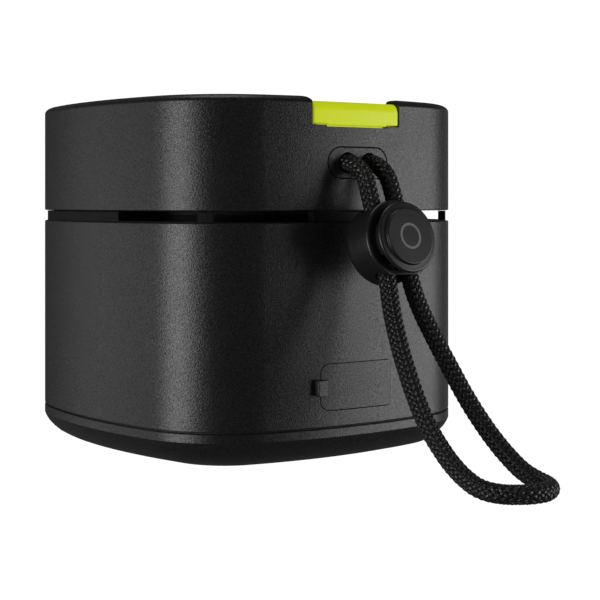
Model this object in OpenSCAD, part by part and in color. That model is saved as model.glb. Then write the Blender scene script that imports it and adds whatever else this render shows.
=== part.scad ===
// Shower speaker: a bulged square housing in two storeys, a head on a neck above a body,
// with a push bar in the rim, a port cover and a lanyard loop with a cord lock at the rear.
// Frame: +Z up, origin at the centre of the underside, front at -Y, rear at +Y.

/* [Housing] */
// Width and depth of the housing across its flats
body_w = 90; // [86:1:110]
// Radius of the four upright corners
corner_r = 24; // [20:0.5:30]
// Radius of the bulge of each side
side_r = 113; // [100:1:300]
// Wall of the moulded shells
wall = 2.4; // [1.8:0.1:3]
// Height of the base tray up to the seam
base_h = 8.6; // [7.6:0.1:12]
// Thickness of the seal in the seam
seam_t = 0.3; // [0.3:0.1:0.8]
// Height of the body shell between seam and slot
body_h = 45.8; // [43:0.5:60]
// Height of the open slot between body and head
slot_h = 2.5; // [2:0.1:4]
// Height of the head
head_h = 25.8; // [24:0.2:34]

/* [Rim and top] */
// Width of the rim round the top panel
rim_w = 5; // [4:0.2:7]
// Depth of the top panel below the rim
panel_drop = 1.2; // [0.6:0.1:2.5]
// Thickness of the top panel
panel_t = 2; // [1.6:0.1:3]
// Radius of the grille
grille_r = 30.5; // [28:0.5:32]
// Thickness of the grille
grille_t = 0.8; // [0.6:0.1:1]

/* [Push bar] */
// Width of the notch that the bar sits in
notch_w = 25.4; // [22:0.2:30]
// Depth of the notch, front to rear
notch_d = 5; // [4:0.1:6]
// Height of the notch floor below the rim top
notch_h = 6.5; // [5.5:0.1:8]
// Travel of the push bar
bar_travel = 0.3; // [0.2:0.05:0.5]
// Travel of the round and long keys
key_travel = 0.5; // [0.3:0.05:0.8]

/* [Lanyard] */
// Diameter of the lanyard cord
cord_d = 4; // [3:0.2:4.2]
// Spacing of the two holes in the anchor plate
hole_gap = 6.4; // [6:0.1:7]
// Width of the anchor plate
anchor_w = 17.3; // [16:0.1:20]
// Height of the anchor plate
anchor_h = 7.1; // [6.6:0.1:9]
// Diameter of the cord lock's barrel
lock_d = 18; // [17:0.5:22]
// Length of the cord lock's barrel
lock_l = 8.3; // [8.3:0.1:12]
// Travel of the cord lock's plunger
lock_travel = 1.2; // [0.8:0.1:1.2]

/* [Port cover] */
// Width of the rubber cover over the ports
cover_w = 20.4; // [18:0.2:26]
// Height of the rubber cover over the ports
cover_h = 10.4; // [9:0.2:13]
// Depth of the pocket that the cover lies in
cover_t = 1.5; // [1.2:0.1:1.7]

/* [Battery] */
// Diameter of a cell
cell_d = 18.4; // [14:0.1:18.6]
// Length of a cell
cell_l = 65; // [50:1:66]

/* [Fits] */
// Gap round a piece that lies in a pocket
gap = 0.15; // [0.1:0.05:0.3]
// Gap round a piece that moves
move_gap = 0.3; // [0.2:0.05:0.4]

/* [Hidden] */
$fn = 64;
eps = 0.01;

// Levels
z_body = base_h + seam_t;
z_deck = z_body + body_h;
z_head = z_deck + slot_h;
z_top = z_head + head_h;
z_panel = z_top - panel_drop;
z_panel_low = z_panel - panel_t;

// Outline of the housing: four bulged sides that run into four round corners
half = body_w / 2;
side_back = side_r - half;
corner_c = (sqrt(2 * pow(side_r - corner_r, 2) - pow(side_back, 2)) - side_back) / 2;
side_turn = asin(corner_c / (side_r - corner_r));
side_steps = 6;
corner_steps = 10;
outline_n = 4 * (side_steps + corner_steps);
function side_point(inset, q, f) =
    [cos(f), sin(f)] * (side_r - inset) - [cos(90 * q), sin(90 * q)] * side_back;
function corner_point(inset, q, f) =
    [cos(f), sin(f)] * (corner_r - inset)
    + [cos(90 * q + 45), sin(90 * q + 45)] * corner_c * sqrt(2);
function outline(inset) = [for (q = [0:3]) each concat(
    [for (i = [0:side_steps - 1])
        side_point(inset, q, 90 * q + side_turn * (2 * i / side_steps - 1))],
    [for (i = [0:corner_steps - 1])
        corner_point(inset, q, 90 * q + side_turn + (90 - 2 * side_turn) * i / corner_steps)])];
// How far the rear face stands back at a distance from its middle
function face_y(x, inset = 0) = sqrt(pow(side_r - inset, 2) - x * x) - side_back;

module prism(inset, z0, z1) {
    translate([0, 0, z0]) linear_extrude(z1 - z0) polygon(outline(inset));
}

// A solid through a list of [inset, z] rings, from the lowest up
module skin(rings) {
    n = outline_n;
    points = [for (r = rings) each [for (p = outline(r[0])) [p[0], p[1], r[1]]]];
    sides = [for (k = [0:len(rings) - 2]) each [for (i = [0:n - 1])
        [k * n + i, (k + 1) * n + i, (k + 1) * n + (i + 1) % n, k * n + (i + 1) % n]]];
    top = len(points) - 1;
    polyhedron(points, concat([[for (i = [0:n - 1]) i]], [[for (i = [0:n - 1]) top - i]], sides));
}

module block(low, high) {
    translate(low) cube(high - low);
}

module ring(r_in, r_out, z0, z1) {
    translate([0, 0, z0]) difference() {
        cylinder(r = r_out, h = z1 - z0);
        translate([0, 0, -1]) cylinder(r = r_in, h = z1 - z0 + 2);
    }
}

module at_corners(p) {
    for (x = [-p, p], y = [-p, p]) translate([x, y, 0]) children();
}

// A screw whose head's underside lies at z = 0, with its shank along +Z
module screw(shank_r, shank_l, head_r, head_l) {
    translate([0, 0, -eps]) cylinder(r = shank_r, h = shank_l + eps);
    difference() {
        translate([0, 0, -head_l]) cylinder(r = head_r, h = head_l);
        translate([0, 0, -head_l - 1]) cylinder(r = head_r / 2, h = 1.8, $fn = 6);
    }
}

// Tube along a list of points, its rings carried along without twist
function unit(v) = v / norm(v);
function tangents(p) = [for (i = [0:len(p) - 1])
    unit(p[min(i + 1, len(p) - 1)] - p[max(i - 1, 0)])];
function carried(t, i, u) = i == len(t) ? [] :
    let (v = unit(u - (u * t[i]) * t[i])) concat([v], carried(t, i + 1, v));
module tube(p, r, sides = 10, start = [1, 0, 0]) {
    t = tangents(p);
    u = carried(t, 0, start);
    points = [for (i = [0:len(p) - 1]) each [for (k = [0:sides - 1])
        let (a = 360 * (k + 0.5) / sides)
        p[i] + r * (cos(a) * u[i] + sin(a) * cross(t[i], u[i]))]];
    walls = [for (i = [0:len(p) - 2]) each [for (k = [0:sides - 1])
        [i * sides + k, (i + 1) * sides + k, (i + 1) * sides + (k + 1) % sides,
            i * sides + (k + 1) % sides]]];
    last = len(points) - 1;
    polyhedron(points, concat([[for (k = [0:sides - 1]) k]],
        [[for (k = [0:sides - 1]) last - k]], walls));
}

// ---- Base ----

pad_inset = 10;
pad_t = 1.6;
pad_stand = 0.8;
tray_floor = 3;
base_screw_r = 1.4;
base_screw_at = half - 20;
base_post_r = 3.6;
base_boss_z = 5.2;
base_head_r = 2.7;
base_head_l = 1.6;

module foot_pad() {
    color("dimgray") difference() {
        prism(pad_inset, 0, pad_t);
        for (y = [-20:8:20]) block([-22, y - 0.7, -1], [22, y + 0.7, 0.5]);
    }
}

module base_tray() {
    edge = base_h - 2;
    color([0.09, 0.09, 0.1]) difference() {
        union() {
            difference() {
                skin([[8.2, pad_stand], [6.8, 0.9], [5.2, 1.35], [3.6, 2.25], [2.2, 3.4],
                    [1, 4.7], [0.35, 5.75], [0, edge], [0, base_h]]);
                prism(wall + 5.4, tray_floor, base_h + 1);
                prism(wall + 3.4, tray_floor + 1.6, base_h + 1);
                prism(wall, edge, base_h + 1);
            }
            intersection() {
                prism(wall + 1, pad_t + 0.5, base_h);
                at_corners(base_screw_at) translate([0, 0, pad_t + 0.5])
                    cylinder(r = base_post_r, h = base_boss_z - pad_t - 0.5);
            }
        }
        prism(pad_inset - gap, 0, pad_t);
        at_corners(base_screw_at) {
            cylinder(r = base_screw_r + gap, h = 20);
            translate([0, 0, pad_t - 1]) cylinder(r = base_head_r + gap, h = base_head_l + 1.2);
        }
    }
}

module base_screws() {
    color("silver") at_corners(base_screw_at)
        translate([0, 0, pad_t + base_head_l + 0.2]) screw(base_screw_r, 11, base_head_r, base_head_l);
}

module seam_seal() {
    color("black") difference() {
        prism(0.6, base_h, z_body);
        prism(wall - 0.1, base_h - 1, z_body + 1);
    }
}

// ---- Body ----

deck_t = 2.5;
neck_in = 19;
neck_out = 31;
neck_gasket_t = 1;
lip_inset = 0.7;
lip_t = 2;
lip_gap = 0.12;
lip_post_turn = 4.3;
window_from = 12;
head_screw_r = 1.25;
head_screw_at = 26.5 / sqrt(2);
cover_z = 17.8;
cover_x = 0.4;
cover_r = 2.3;
hinge_x = cover_x - cover_w / 2;
cover_floor_y = half - cover_t - 0.2;
usb_x = 4.6;
jack_x = -4.6;
jack_r = 1.75;

// The cover's outline in the rear face, square at its hinge end and round at the other
module cover_shape(grow, y0, y1) {
    x1 = cover_x + cover_w / 2;
    r = cover_r;
    translate([0, y1, 0]) rotate([90, 0, 0]) linear_extrude(y1 - y0) union() {
        translate([hinge_x, cover_z - cover_h / 2 - grow])
            square([cover_w - r, cover_h + 2 * grow]);
        translate([hinge_x, cover_z - cover_h / 2 + r])
            square([cover_w + grow, cover_h - 2 * r]);
        for (s = [-1, 1]) translate([x1 - r, cover_z + s * (cover_h / 2 - r)])
            circle(r = r + grow);
    }
}

// The lip's openings, beside the post in each rear corner
module lip_windows() {
    post = [corner_c, corner_c] + (corner_r - lip_inset)
        * [cos(45 + lip_post_turn), sin(45 + lip_post_turn)];
    for (s = [-1, 1]) {
        for (flip = [0, 1]) mirror([s > 0 ? 1 : 0, 0, 0]) mirror([flip, -flip, 0])
            block([window_from, post[0] - 6, z_deck + 0.2],
                [post[0], half + 1, z_head + 1]);
    }
}

module body_shell() {
    lip_top = z_head - lip_gap;
    color([0.11, 0.11, 0.12]) difference() {
        union() {
            difference() {
                skin([[0.25, z_body], [0, z_body + 0.25], [0, z_deck - 0.35], [0.35, z_deck]]);
                prism(wall, z_body - 1, z_deck - deck_t);
            }
            difference() {
                prism(lip_inset, z_deck - eps, lip_top);
                prism(lip_inset + lip_t, z_deck - 1, lip_top + 1);
                lip_windows();
            }
            translate([0, 0, z_deck - eps])
                cylinder(r = neck_out, h = slot_h - neck_gasket_t + eps);
            at_corners(base_screw_at) translate([0, 0, base_boss_z])
                cylinder(r = base_post_r, h = z_deck - base_boss_z - 1);
        }
        translate([0, 0, z_deck - deck_t - 1]) cylinder(r = neck_in, h = 20);
        at_corners(head_screw_at) translate([0, 0, z_deck - deck_t - 1])
            cylinder(r = head_screw_r + gap, h = 20);
        at_corners(base_screw_at) translate([0, 0, base_boss_z - 1])
            cylinder(r = base_screw_r + 0.02, h = 13);
        cover_shape(gap, cover_floor_y, half + 1);
        block([cover_x - cover_w / 2 + 1.2, half - 8, cover_z - cover_h / 2 + 1.2],
            [cover_x + cover_w / 2 - 1.2, half + 1, cover_z + cover_h / 2 - 1.2]);
    }
}

module neck_gasket() {
    difference() {
        color("black") ring(neck_in + 1, neck_out - 1, z_head - neck_gasket_t, z_head);
        at_corners(head_screw_at) translate([0, 0, z_deck])
            cylinder(r = head_screw_r + gap, h = 20);
    }
}

module head_screws() {
    color("silver") at_corners(head_screw_at) translate([0, 0, z_deck - deck_t])
        screw(head_screw_r, deck_t + slot_h + 5.5, 2.6, 1.6);
}

// The ports and the board that carries them
board_y = 27;
board_t = 1.6;
board_x = 20.5;
bay_y0 = half - wall - 3;
port_y = half - wall - 0.6;

module port_opening(grow, y0, y1) {
    block([usb_x - 4.5 - grow, y0, cover_z - 1.6 - grow], [usb_x + 4.5 + grow, y1, cover_z + 1.6 + grow]);
    translate([jack_x, y0, cover_z]) rotate([-90, 0, 0]) cylinder(r = 2.9 + grow, h = y1 - y0);
}

module port_bay() {
    color([0.06, 0.06, 0.06]) difference() {
        intersection() {
            prism(wall, 0, z_deck);
            block([cover_x - cover_w / 2 - 1.2, bay_y0, cover_z - cover_h / 2 - 1],
                [cover_x + cover_w / 2 + 1, half - wall - 0.55, cover_z + cover_h / 2 + 1]);
        }
        port_opening(gap, bay_y0 - 1, half);
    }
}

module usb_port() {
    color("silver") difference() {
        block([usb_x - 4.5, board_y + board_t, cover_z - 1.6], [usb_x + 4.5, port_y, cover_z + 1.6]);
        difference() {
            block([usb_x - 4.2, port_y - 6, cover_z - 1.3], [usb_x + 4.2, port_y + 1, cover_z + 1.3]);
            block([usb_x - 3.3, port_y - 7, cover_z - 0.35], [usb_x + 3.3, port_y - 1, cover_z + 0.35]);
        }
    }
}

module aux_jack() {
    color([0.05, 0.05, 0.05]) difference() {
        union() {
            block([jack_x - 3, board_y + board_t, cover_z - 3], [jack_x + 3, bay_y0 - 0.1, cover_z + 3]);
            translate([jack_x, bay_y0 - 1, cover_z]) rotate([-90, 0, 0])
                cylinder(r = 2.9, h = port_y - bay_y0 + 1);
        }
        translate([jack_x, port_y - 11, cover_z]) rotate([-90, 0, 0])
            cylinder(r = jack_r, h = 12);
    }
}

module main_board() {
    color("darkgreen") block([-board_x, board_y, 7], [board_x, board_y + board_t, z_deck - deck_t - 6]);
    color("ivory") block([8.4, board_y - 4, 38], [16.4, board_y + eps, 42]);
    color("ivory") block([-16, board_y - 4, 30], [-8, board_y + eps, 34]);
}

// The port cover's pull tab: its height, and how far it stands past the rear face
tab_h = 3.6;
tab_stand = 0.9;

module radio_module() {
    color("silver") block([-7, board_y - 2.4, 10], [7, board_y, 26]);
}

module port_cover() {
    x1 = cover_x + cover_w / 2;
    y1 = face_y(x1);
    color([0.1, 0.1, 0.1]) {
        intersection() {
            prism(0.05, 0, z_deck);
            difference() {
                cover_shape(0, cover_floor_y + 0.1, half + 1);
                block([hinge_x - 1, 0, 0], [hinge_x + 0.1, half + 1, z_deck]);
            }
        }
        // the pull tab, sloped towards the cover, whose free end stands clear of the shell
        translate([0, 0, cover_z - tab_h / 2]) linear_extrude(tab_h) polygon([
            [x1 - 1.55, y1 - 0.3], [x1 - 1.55, y1 + 0.5], [x1 - 0.95, half + tab_stand],
            [x1 + 1.7, half + tab_stand], [x1 + 1.7, y1 + 0.15], [x1 - 0.2, y1 + 0.15],
            [x1 - 0.2, y1 - 0.3]]);
    }
}

// ---- Battery ----

cell_y = (cell_d + 0.8) / 2;
cells_mid = -2;
cradle_t = 1.6;
cell_z = tray_floor + cradle_t + 0.2 + cell_d / 2;
cell_ys = [cells_mid - cell_y, cells_mid + cell_y];

module battery_cells() {
    color("royalblue") for (y = cell_ys) translate([-cell_l / 2, y, cell_z]) rotate([0, 90, 0]) {
        cylinder(r = cell_d / 2, h = cell_l);
    }
}

module battery_cradle() {
    color("gray") difference() {
        block([-cell_l / 2 - 2, cell_ys[0] - cell_d / 2 - 0.6, tray_floor],
            [cell_l / 2 + 2, cell_ys[1] + cell_d / 2 + 0.6, cell_z - 2]);
        for (y = cell_ys) translate([-cell_l / 2 - 0.2, y, cell_z]) rotate([0, 90, 0])
            cylinder(r = cell_d / 2 + 0.2, h = cell_l + 0.4);
        block([-18, cell_ys[0] - 4, 0], [18, cell_ys[0] + 4, 10]);
        block([-18, cell_ys[1] - 4, 0], [18, cell_ys[1] + 4, 10]);
    }
}

lead_r = 0.7;
lead_y = board_y - 2;
driver_lead_route = [[12.4, lead_y, 42], [12.4, lead_y, 43.4], [12.4, 21.4, 46.4],
    [12.4, 16.4, 47.4], [12.4, 13.2, 49.2], [12.4, 12.4, 52], [12.4, 12.4, 58],
    [12.4, 12.4, z_panel_low - 15.4]];
battery_lead_route = [[-12, board_y - 4, 32], [-12, board_y - 5.4, 32], [-17.4, board_y - 8, 30.8],
    [-26, 17, 27.5], [-32, 13, 24], [-35.6, 10, 19.5], [-36.6, cell_ys[1] + 0.6, 15.6],
    [-cell_l / 2 - 2.6, cell_ys[1], cell_z], [-cell_l / 2, cell_ys[1], cell_z]];

module driver_lead() {
    color("red") tube(driver_lead_route, lead_r, 8);
}

module battery_lead() {
    color("red") tube(battery_lead_route, lead_r, 8, [0, 0, 1]);
}

// ---- Head ----

head_floor_t = 2;
ledge_in = rim_w + 1.6;
ledge_t = 2;
notch_z = z_top - notch_h;
notch_y = half - notch_d;
bar_mid_w = 17.2;
bar_mid_drop = 0.35;
bar_top = z_top - 1.1;
tongue_y0 = notch_y + 0.9;
tongue_y1 = notch_y + 3.1;
tongue_z = notch_z - 1.6;
switch_floor_z = notch_z - 1.3;
anchor_z = z_head + 10.9;
anchor_flange = 1.35;
key_r = 4;
key_at = 27;
play_y = -(half - 10);
play_l = 14;
play_w = 4.8;
key_proud = 0.3;
lens_at = [13, play_y];
lens_r = 0.9;

module stadium(w, h, z, y0, y1) {
    translate([0, y1, z]) rotate([90, 0, 0]) linear_extrude(y1 - y0) union() {
        square([w - h, h], center = true);
        for (s = [-1, 1]) translate([s * (w - h) / 2, 0]) circle(r = h / 2);
    }
}

module head_shell() {
    color([0.11, 0.11, 0.12]) difference() {
        union() {
            difference() {
                skin([[0.35, z_head], [0, z_head + 0.35], [0, z_top - 1.7], [0.2, z_top - 1.1],
                    [0.75, z_top - 0.5], [1.7, z_top - 0.1], [3, z_top]]);
                prism(wall, z_head + head_floor_t, z_panel_low - ledge_t);
                prism(ledge_in, z_panel_low - ledge_t - 1, z_panel_low + 1);
                prism(rim_w, z_panel_low, z_top + 1);
            }
            intersection() {
                prism(0.3, z_head, z_panel_low);
                block([-notch_w / 2 - 2, notch_y - 2, notch_z - 5.4],
                    [notch_w / 2 + 2, half, z_panel_low]);
            }
            at_corners(head_screw_at) translate([0, 0, z_head]) cylinder(r = 3.2, h = 6.4);
        }
        // the notch, its sunk middle, the tongue's slot and the switch pocket
        block([-notch_w / 2, notch_y, notch_z], [notch_w / 2, half + 1, z_top + 1]);
        block([-notch_w / 2, face_y(notch_w / 2, rim_w) - 0.1, z_panel_low], [notch_w / 2, half + 1, z_top + 1]);
        block([-bar_mid_w / 2 - move_gap, notch_y, notch_z - bar_mid_drop],
            [bar_mid_w / 2 + move_gap, half + 1, z_top]);
        block([-bar_mid_w / 2 - move_gap, tongue_y0 - move_gap, notch_z - 3],
            [bar_mid_w / 2 + move_gap, tongue_y1 + move_gap, notch_z]);
        block([-bar_mid_w / 2 - 1, notch_y - 0.8, notch_z - 6], [bar_mid_w / 2 + 1, half - wall, switch_floor_z]);
        stadium(anchor_w + 2 * gap, anchor_h + 2 * gap, anchor_z, notch_y - 1, half + 1);
        translate([0, 0, z_head - 1]) cylinder(r = neck_in, h = 10);
        at_corners(head_screw_at) translate([0, 0, z_head - 1])
            cylinder(r = head_screw_r + 0.02, h = 7);
    }
}

module top_panel() {
    color([0.08, 0.08, 0.09]) difference() {
        prism(rim_w + gap, z_panel_low, z_panel);
        block([-notch_w / 2 - 0.5, notch_y - 0.6, 0], [notch_w / 2 + 0.5, half, z_top]);
        cylinder(r = grille_r - 2, h = z_top);
        translate([0, 0, z_panel - 1]) cylinder(r = grille_r + gap, h = 2);
        for (s = [-1, 1]) translate([s * key_at, -key_at, 0]) cylinder(r = key_r + move_gap, h = z_top);
        long_key(move_gap, 0, z_top);
        translate([lens_at[0], lens_at[1], 0]) cylinder(r = lens_r + 0.05, h = z_top);
    }
}

module long_key(grow, z0, z1) {
    block([-(play_l - play_w) / 2, play_y - play_w / 2 - grow, z0],
        [(play_l - play_w) / 2, play_y + play_w / 2 + grow, z1]);
    for (s = [-1, 1]) translate([s * (play_l - play_w) / 2, play_y, z0])
        cylinder(r = play_w / 2 + grow, h = z1 - z0);
}

module grille() {
    pitch = 4.2;
    color("dimgray") difference() {
        translate([0, 0, z_panel - 1]) cylinder(r = grille_r, h = grille_t);
        for (i = [-7:7], j = [-7:7]) {
            p = [pitch * (i + j / 2), pitch * j * sin(60)];
            if (norm(p) < grille_r - 4) translate([p[0], p[1], 0])
                cylinder(r = 1.5, h = z_top, $fn = 6);
        }
    }
}

key_low = z_panel_low - 1.2;
key_switch_top = key_low - key_travel - 0.1;
key_board_z = key_switch_top - 2;

module round_key(s) {
    color([0.12, 0.12, 0.12]) translate([s * key_at, -key_at, 0]) {
        translate([0, 0, key_low]) cylinder(r = key_r, h = z_panel + key_proud - key_low);
        translate([0, 0, key_low]) cylinder(r = key_r + 0.8, h = 1);
    }
}

module volume_down_key() { round_key(-1); }
module volume_up_key() { round_key(1); }

module play_key() {
    color([0.12, 0.12, 0.12]) {
        long_key(0, key_low, z_panel + key_proud);
        long_key(0.6, key_low, key_low + 1);
    }
}

module key_board() {
    color("darkgreen") intersection() {
        prism(wall + 0.6, key_board_z - 1, key_board_z);
        difference() {
            block([-half, -half, 0], [half, -22, z_top]);
            cylinder(r = 32.6, h = z_top);
        }
    }
}

module key_switches() {
    color("silver") {
        for (s = [-1, 1]) translate([s * key_at, -key_at, key_board_z]) {
            translate([-2, -2, 0]) cube([4, 4, 1.4]);
            cylinder(r = 1, h = 2);
        }
        translate([-2, play_y - 2, key_board_z]) cube([4, 4, 1.4]);
        translate([0, play_y, key_board_z]) cylinder(r = 1, h = 2);
    }
}

module status_lens() {
    color("white") translate([lens_at[0], lens_at[1], z_panel_low - 0.8])
        cylinder(r = lens_r, h = panel_t + 0.8);
}

module power_bar() {
    color([0.72, 0.79, 0.05]) {
        intersection() {
            prism(0.12, 0, z_top);
            difference() {
                union() {
                    block([-notch_w / 2 + move_gap, notch_y + move_gap, notch_z + bar_mid_drop],
                        [notch_w / 2 - move_gap, half, bar_top]);
                    block([-bar_mid_w / 2, notch_y + move_gap, notch_z],
                        [bar_mid_w / 2, half, bar_top - 1]);
                }
                // the rounded top edge at the rear
                difference() {
                    block([-notch_w, half - 2.4, bar_top - 2.2], [notch_w, half + 1, bar_top + 1]);
                    translate([-notch_w, half - 2.4, bar_top - 2.2]) rotate([0, 90, 0])
                        cylinder(r = 2.2, h = 2 * notch_w);
                }
            }
        }
        block([-bar_mid_w / 2, tongue_y0, tongue_z], [bar_mid_w / 2, tongue_y1, notch_z + eps]);
    }
}

switch_top = tongue_z - bar_travel - 0.05;

module power_switch() {
    color("silver") {
        block([-3, tongue_y0 - 0.6, switch_top - 2], [3, half - wall - 0.1, switch_top - 0.6]);
        translate([0, tongue_y0 + 0.9, switch_top - 0.7]) cylinder(r = 0.7, h = 0.7);
    }
}

module switch_board() {
    color("darkgreen") block([-7, notch_y - 0.4, switch_top - 2.8], [7, half - wall - 1.6, switch_top - 2]);
}

// ---- Driver: everything hangs from the panel's underside ----

drv = z_panel_low;
coil_r = 10;
flange_r = 31.5;

module driver_gasket() {
    color("black") ring(28.7, flange_r, drv - 1, drv);
}

module driver_basket() {
    color([0.2, 0.2, 0.2]) difference() {
        rotate_extrude() polygon([[flange_r, drv - 1.8], [28.4, drv - 1.8], [28.4, drv - 2.6],
            [17, drv - 12.6], [17, drv - 13.6], [15.4, drv - 15.2], [11.4, drv - 15.2],
            [11.4, drv - 16.4], [16, drv - 16.4], [18.4, drv - 13.8], [29.5, drv - 4],
            [29.9, drv - 3], [flange_r, drv - 3]]);
        for (a = [0:60:300]) rotate([0, 0, a + 15]) translate([12, -5, drv - 11.3])
            cube([20, 10, 5.8]);
    }
}

module driver_top_plate() {
    color("silver") ring(coil_r + 0.9, 16, drv - 18.4, drv - 16.4);
}

module driver_magnet() {
    color("black") ring(12.5, 16, drv - 26.4, drv - 18.4);
}

module driver_yoke() {
    color("silver") {
        translate([0, 0, drv - 28.4]) cylinder(r = 15.6, h = 2);
        translate([0, 0, drv - 26.5]) cylinder(r = coil_r - 0.5, h = 10.1);
    }
}

module voice_coil() {
    color("orange") ring(coil_r, coil_r + 0.5, drv - 20.6, drv - 12.4);
}

module driver_cone() {
    color([0.15, 0.15, 0.15]) rotate_extrude() polygon([[coil_r, drv - 12.4], [coil_r + 0.9, drv - 12.4],
        [24.6, drv - 3], [24.6, drv - 2.2], [24, drv - 2.2]]);
}

module dust_cap() {
    dome_r = 16;
    edge_r = coil_r + 0.5;
    low = drv - 11.9;
    thick = 0.7;
    color([0.15, 0.15, 0.15]) rotate_extrude() polygon([for (up = [1, 0], i = [0:5])
        let (x = edge_r * (up == 1 ? i : 5 - i) / 5)
        [x, low + up * thick + sqrt(dome_r * dome_r - x * x)
            - sqrt(dome_r * dome_r - edge_r * edge_r)]]);
}

module driver_surround() {
    mid = 26.4;
    color([0.05, 0.05, 0.05]) rotate_extrude() difference() {
        union() {
            translate([mid, drv - 2.2]) circle(r = 1.8);
            translate([mid, drv - 1.8]) square([flange_r - mid, 0.8]);
        }
        translate([mid, drv - 2.2]) circle(r = 1.2);
        translate([mid - 3, drv - 5.2]) square([4.9, 3]);
    }
}

module driver_spider() {
    color("tan") ring(coil_r + 0.5, 16.6, drv - 13.6 + 0.02, drv - 13.1);
}

// ---- Lanyard ----

cord_r = cord_d / 2;
cord_hole_r = cord_r + 0.2;

// One side of the loop, from its end inside the head to the tip; the other side mirrors it
cord_half = [
    [3.2, 41.2, 68.1], [3.2, 44.5, 68.1], [3.2, 47, 67.7], [3.2, 49.2, 66.6], [3.3, 51, 64.8],
    [3.4, 52.1, 62.6], [3.4, 56, 50.6], [3.4, 59.1, 41], [4, 60.7, 36.6],
    [5.2, 64.4, 29.6], [6.2, 68.4, 23.3], [6.9, 72.2, 17.8], [7.5, 76.3, 12.9],
    [7.8, 80.4, 9], [8, 84.6, 5.8], [8, 88.6, 3.6], [8, 92.2, 2.5], [6.9, 96.2, 2.05],
    [4, 99.1, 2]];
cord_tip = [0, 100.2, 2];
function mirrored(p) = [-p[0], p[1], p[2]];
cord_route = concat(cord_half, [cord_tip],
    [for (i = [len(cord_half) - 1:-1:0]) mirrored(cord_half[i])]);

module lanyard_cord() {
    color([0.07, 0.07, 0.07]) tube(cord_route, cord_r, 10);
}

module anchor_plate() {
    color([0.1, 0.1, 0.1]) difference() {
        union() {
            intersection() {
                prism(0.05, z_head, z_top);
                stadium(anchor_w, anchor_h, anchor_z, half - wall - 1.4, half + 1);
            }
            stadium(anchor_w + 2 * anchor_flange, anchor_h + 1, anchor_z, half - wall - 1.4,
                half - wall - 0.6);
        }
        for (s = [-1, 1]) translate([s * hole_gap / 2, half - 10, anchor_z]) rotate([-90, 0, 0])
            cylinder(r = cord_hole_r, h = 20);
    }
}

module cord_stop() {
    stop_y = half - wall - 1.4;
    color([0.2, 0.2, 0.2]) stadium(14, 5.2, anchor_z, stop_y - 4, stop_y);
}

// The cord lock, its axis along +Z here with the strands crossing at the origin
lock_at = [0, 56.1, 50.3];
lock_pitch = 14;
strand_turn = 4;
strand_x = 3.4;
lock_r = lock_d / 2;
lock_front = 2.9;
lock_back = lock_front - lock_l;
stem_r = 6.8;
stem_low = -3.1;
slot_low = -2.6;
slot_high = 3.8;
cap_low = lock_front + 1.9;
cap_rim_r = 7.95;
face_r = 6.3;

module on_lock() {
    translate(lock_at) rotate([lock_pitch - 90, 0, 0]) children();
}

module cord_lock_barrel() {
    e = 1.6;
    f = 0.7;
    color([0.1, 0.1, 0.1]) on_lock() difference() {
        rotate_extrude() union() {
            translate([0, lock_back]) square([lock_r - e, lock_l]);
            translate([0, lock_back + e]) square([lock_r - f, lock_l - e]);
            translate([0, lock_back + e]) square([lock_r, lock_l - e - f]);
            translate([lock_r - e, lock_back + e]) circle(r = e);
            translate([lock_r - f, lock_front - f]) circle(r = f);
        }
        translate([0, 0, stem_low - lock_travel - 0.1]) cylinder(r = stem_r + 0.08, h = 20);
        rotate([90 + strand_turn, 0, 0]) {
            for (s = [-1, 1]) translate([s * strand_x, 0, -20])
                cylinder(r = cord_r + 0.35, h = 40);
            translate([-strand_x, -cord_r - 0.35, -20]) cube([2 * strand_x, cord_d + 0.7, 40]);
        }
    }
}

module cord_lock_plunger() {
    color([0.13, 0.13, 0.13]) on_lock() difference() {
        union() {
            translate([0, 0, stem_low]) cylinder(r = stem_r, h = cap_low - stem_low + 0.2);
            rotate_extrude() union() {
                translate([0, cap_low]) square([cap_rim_r - 0.55, 1.1]);
                translate([cap_rim_r - 0.55, cap_low + 0.55]) circle(r = 0.55);
                translate([0, cap_low + 1]) square([face_r - 0.3, 0.9]);
                translate([0, cap_low + 1]) square([face_r, 0.6]);
                translate([face_r - 0.3, cap_low + 1.6]) circle(r = 0.3);
            }
        }
        translate([-5.9, -stem_r - 1, slot_low]) cube([11.8, 2 * stem_r + 2, slot_high - slot_low]);
    }
}

module cord_lock_spring() {
    wire_r = 0.25;
    low = stem_low - lock_travel - 0.1 + wire_r;
    high = stem_low - wire_r;
    color("silver") on_lock() tube([for (a = [0:15:345])
        [5 * cos(a), 5 * sin(a), (low + high) / 2 + (high - low) / 2 * cos(3 * a)]],
        wire_r, 6, [1, 0, 0]);
}

foot_pad();
base_tray();
base_screws();
seam_seal();
body_shell();
battery_cradle();
battery_cells();
main_board();
radio_module();
usb_port();
aux_jack();
port_bay();
port_cover();
battery_lead();
driver_lead();
neck_gasket();
head_screws();
head_shell();
top_panel();
grille();
driver_gasket();
driver_basket();
driver_top_plate();
driver_magnet();
driver_yoke();
voice_coil();
driver_cone();
dust_cap();
driver_surround();
driver_spider();
key_board();
key_switches();
volume_down_key();
play_key();
volume_up_key();
status_lens();
power_bar();
power_switch();
switch_board();
anchor_plate();
cord_stop();
lanyard_cord();
cord_lock_barrel();
cord_lock_plunger();
cord_lock_spring();
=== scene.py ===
import math

import bmesh
import bpy
from mathutils import Matrix, Vector


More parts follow.
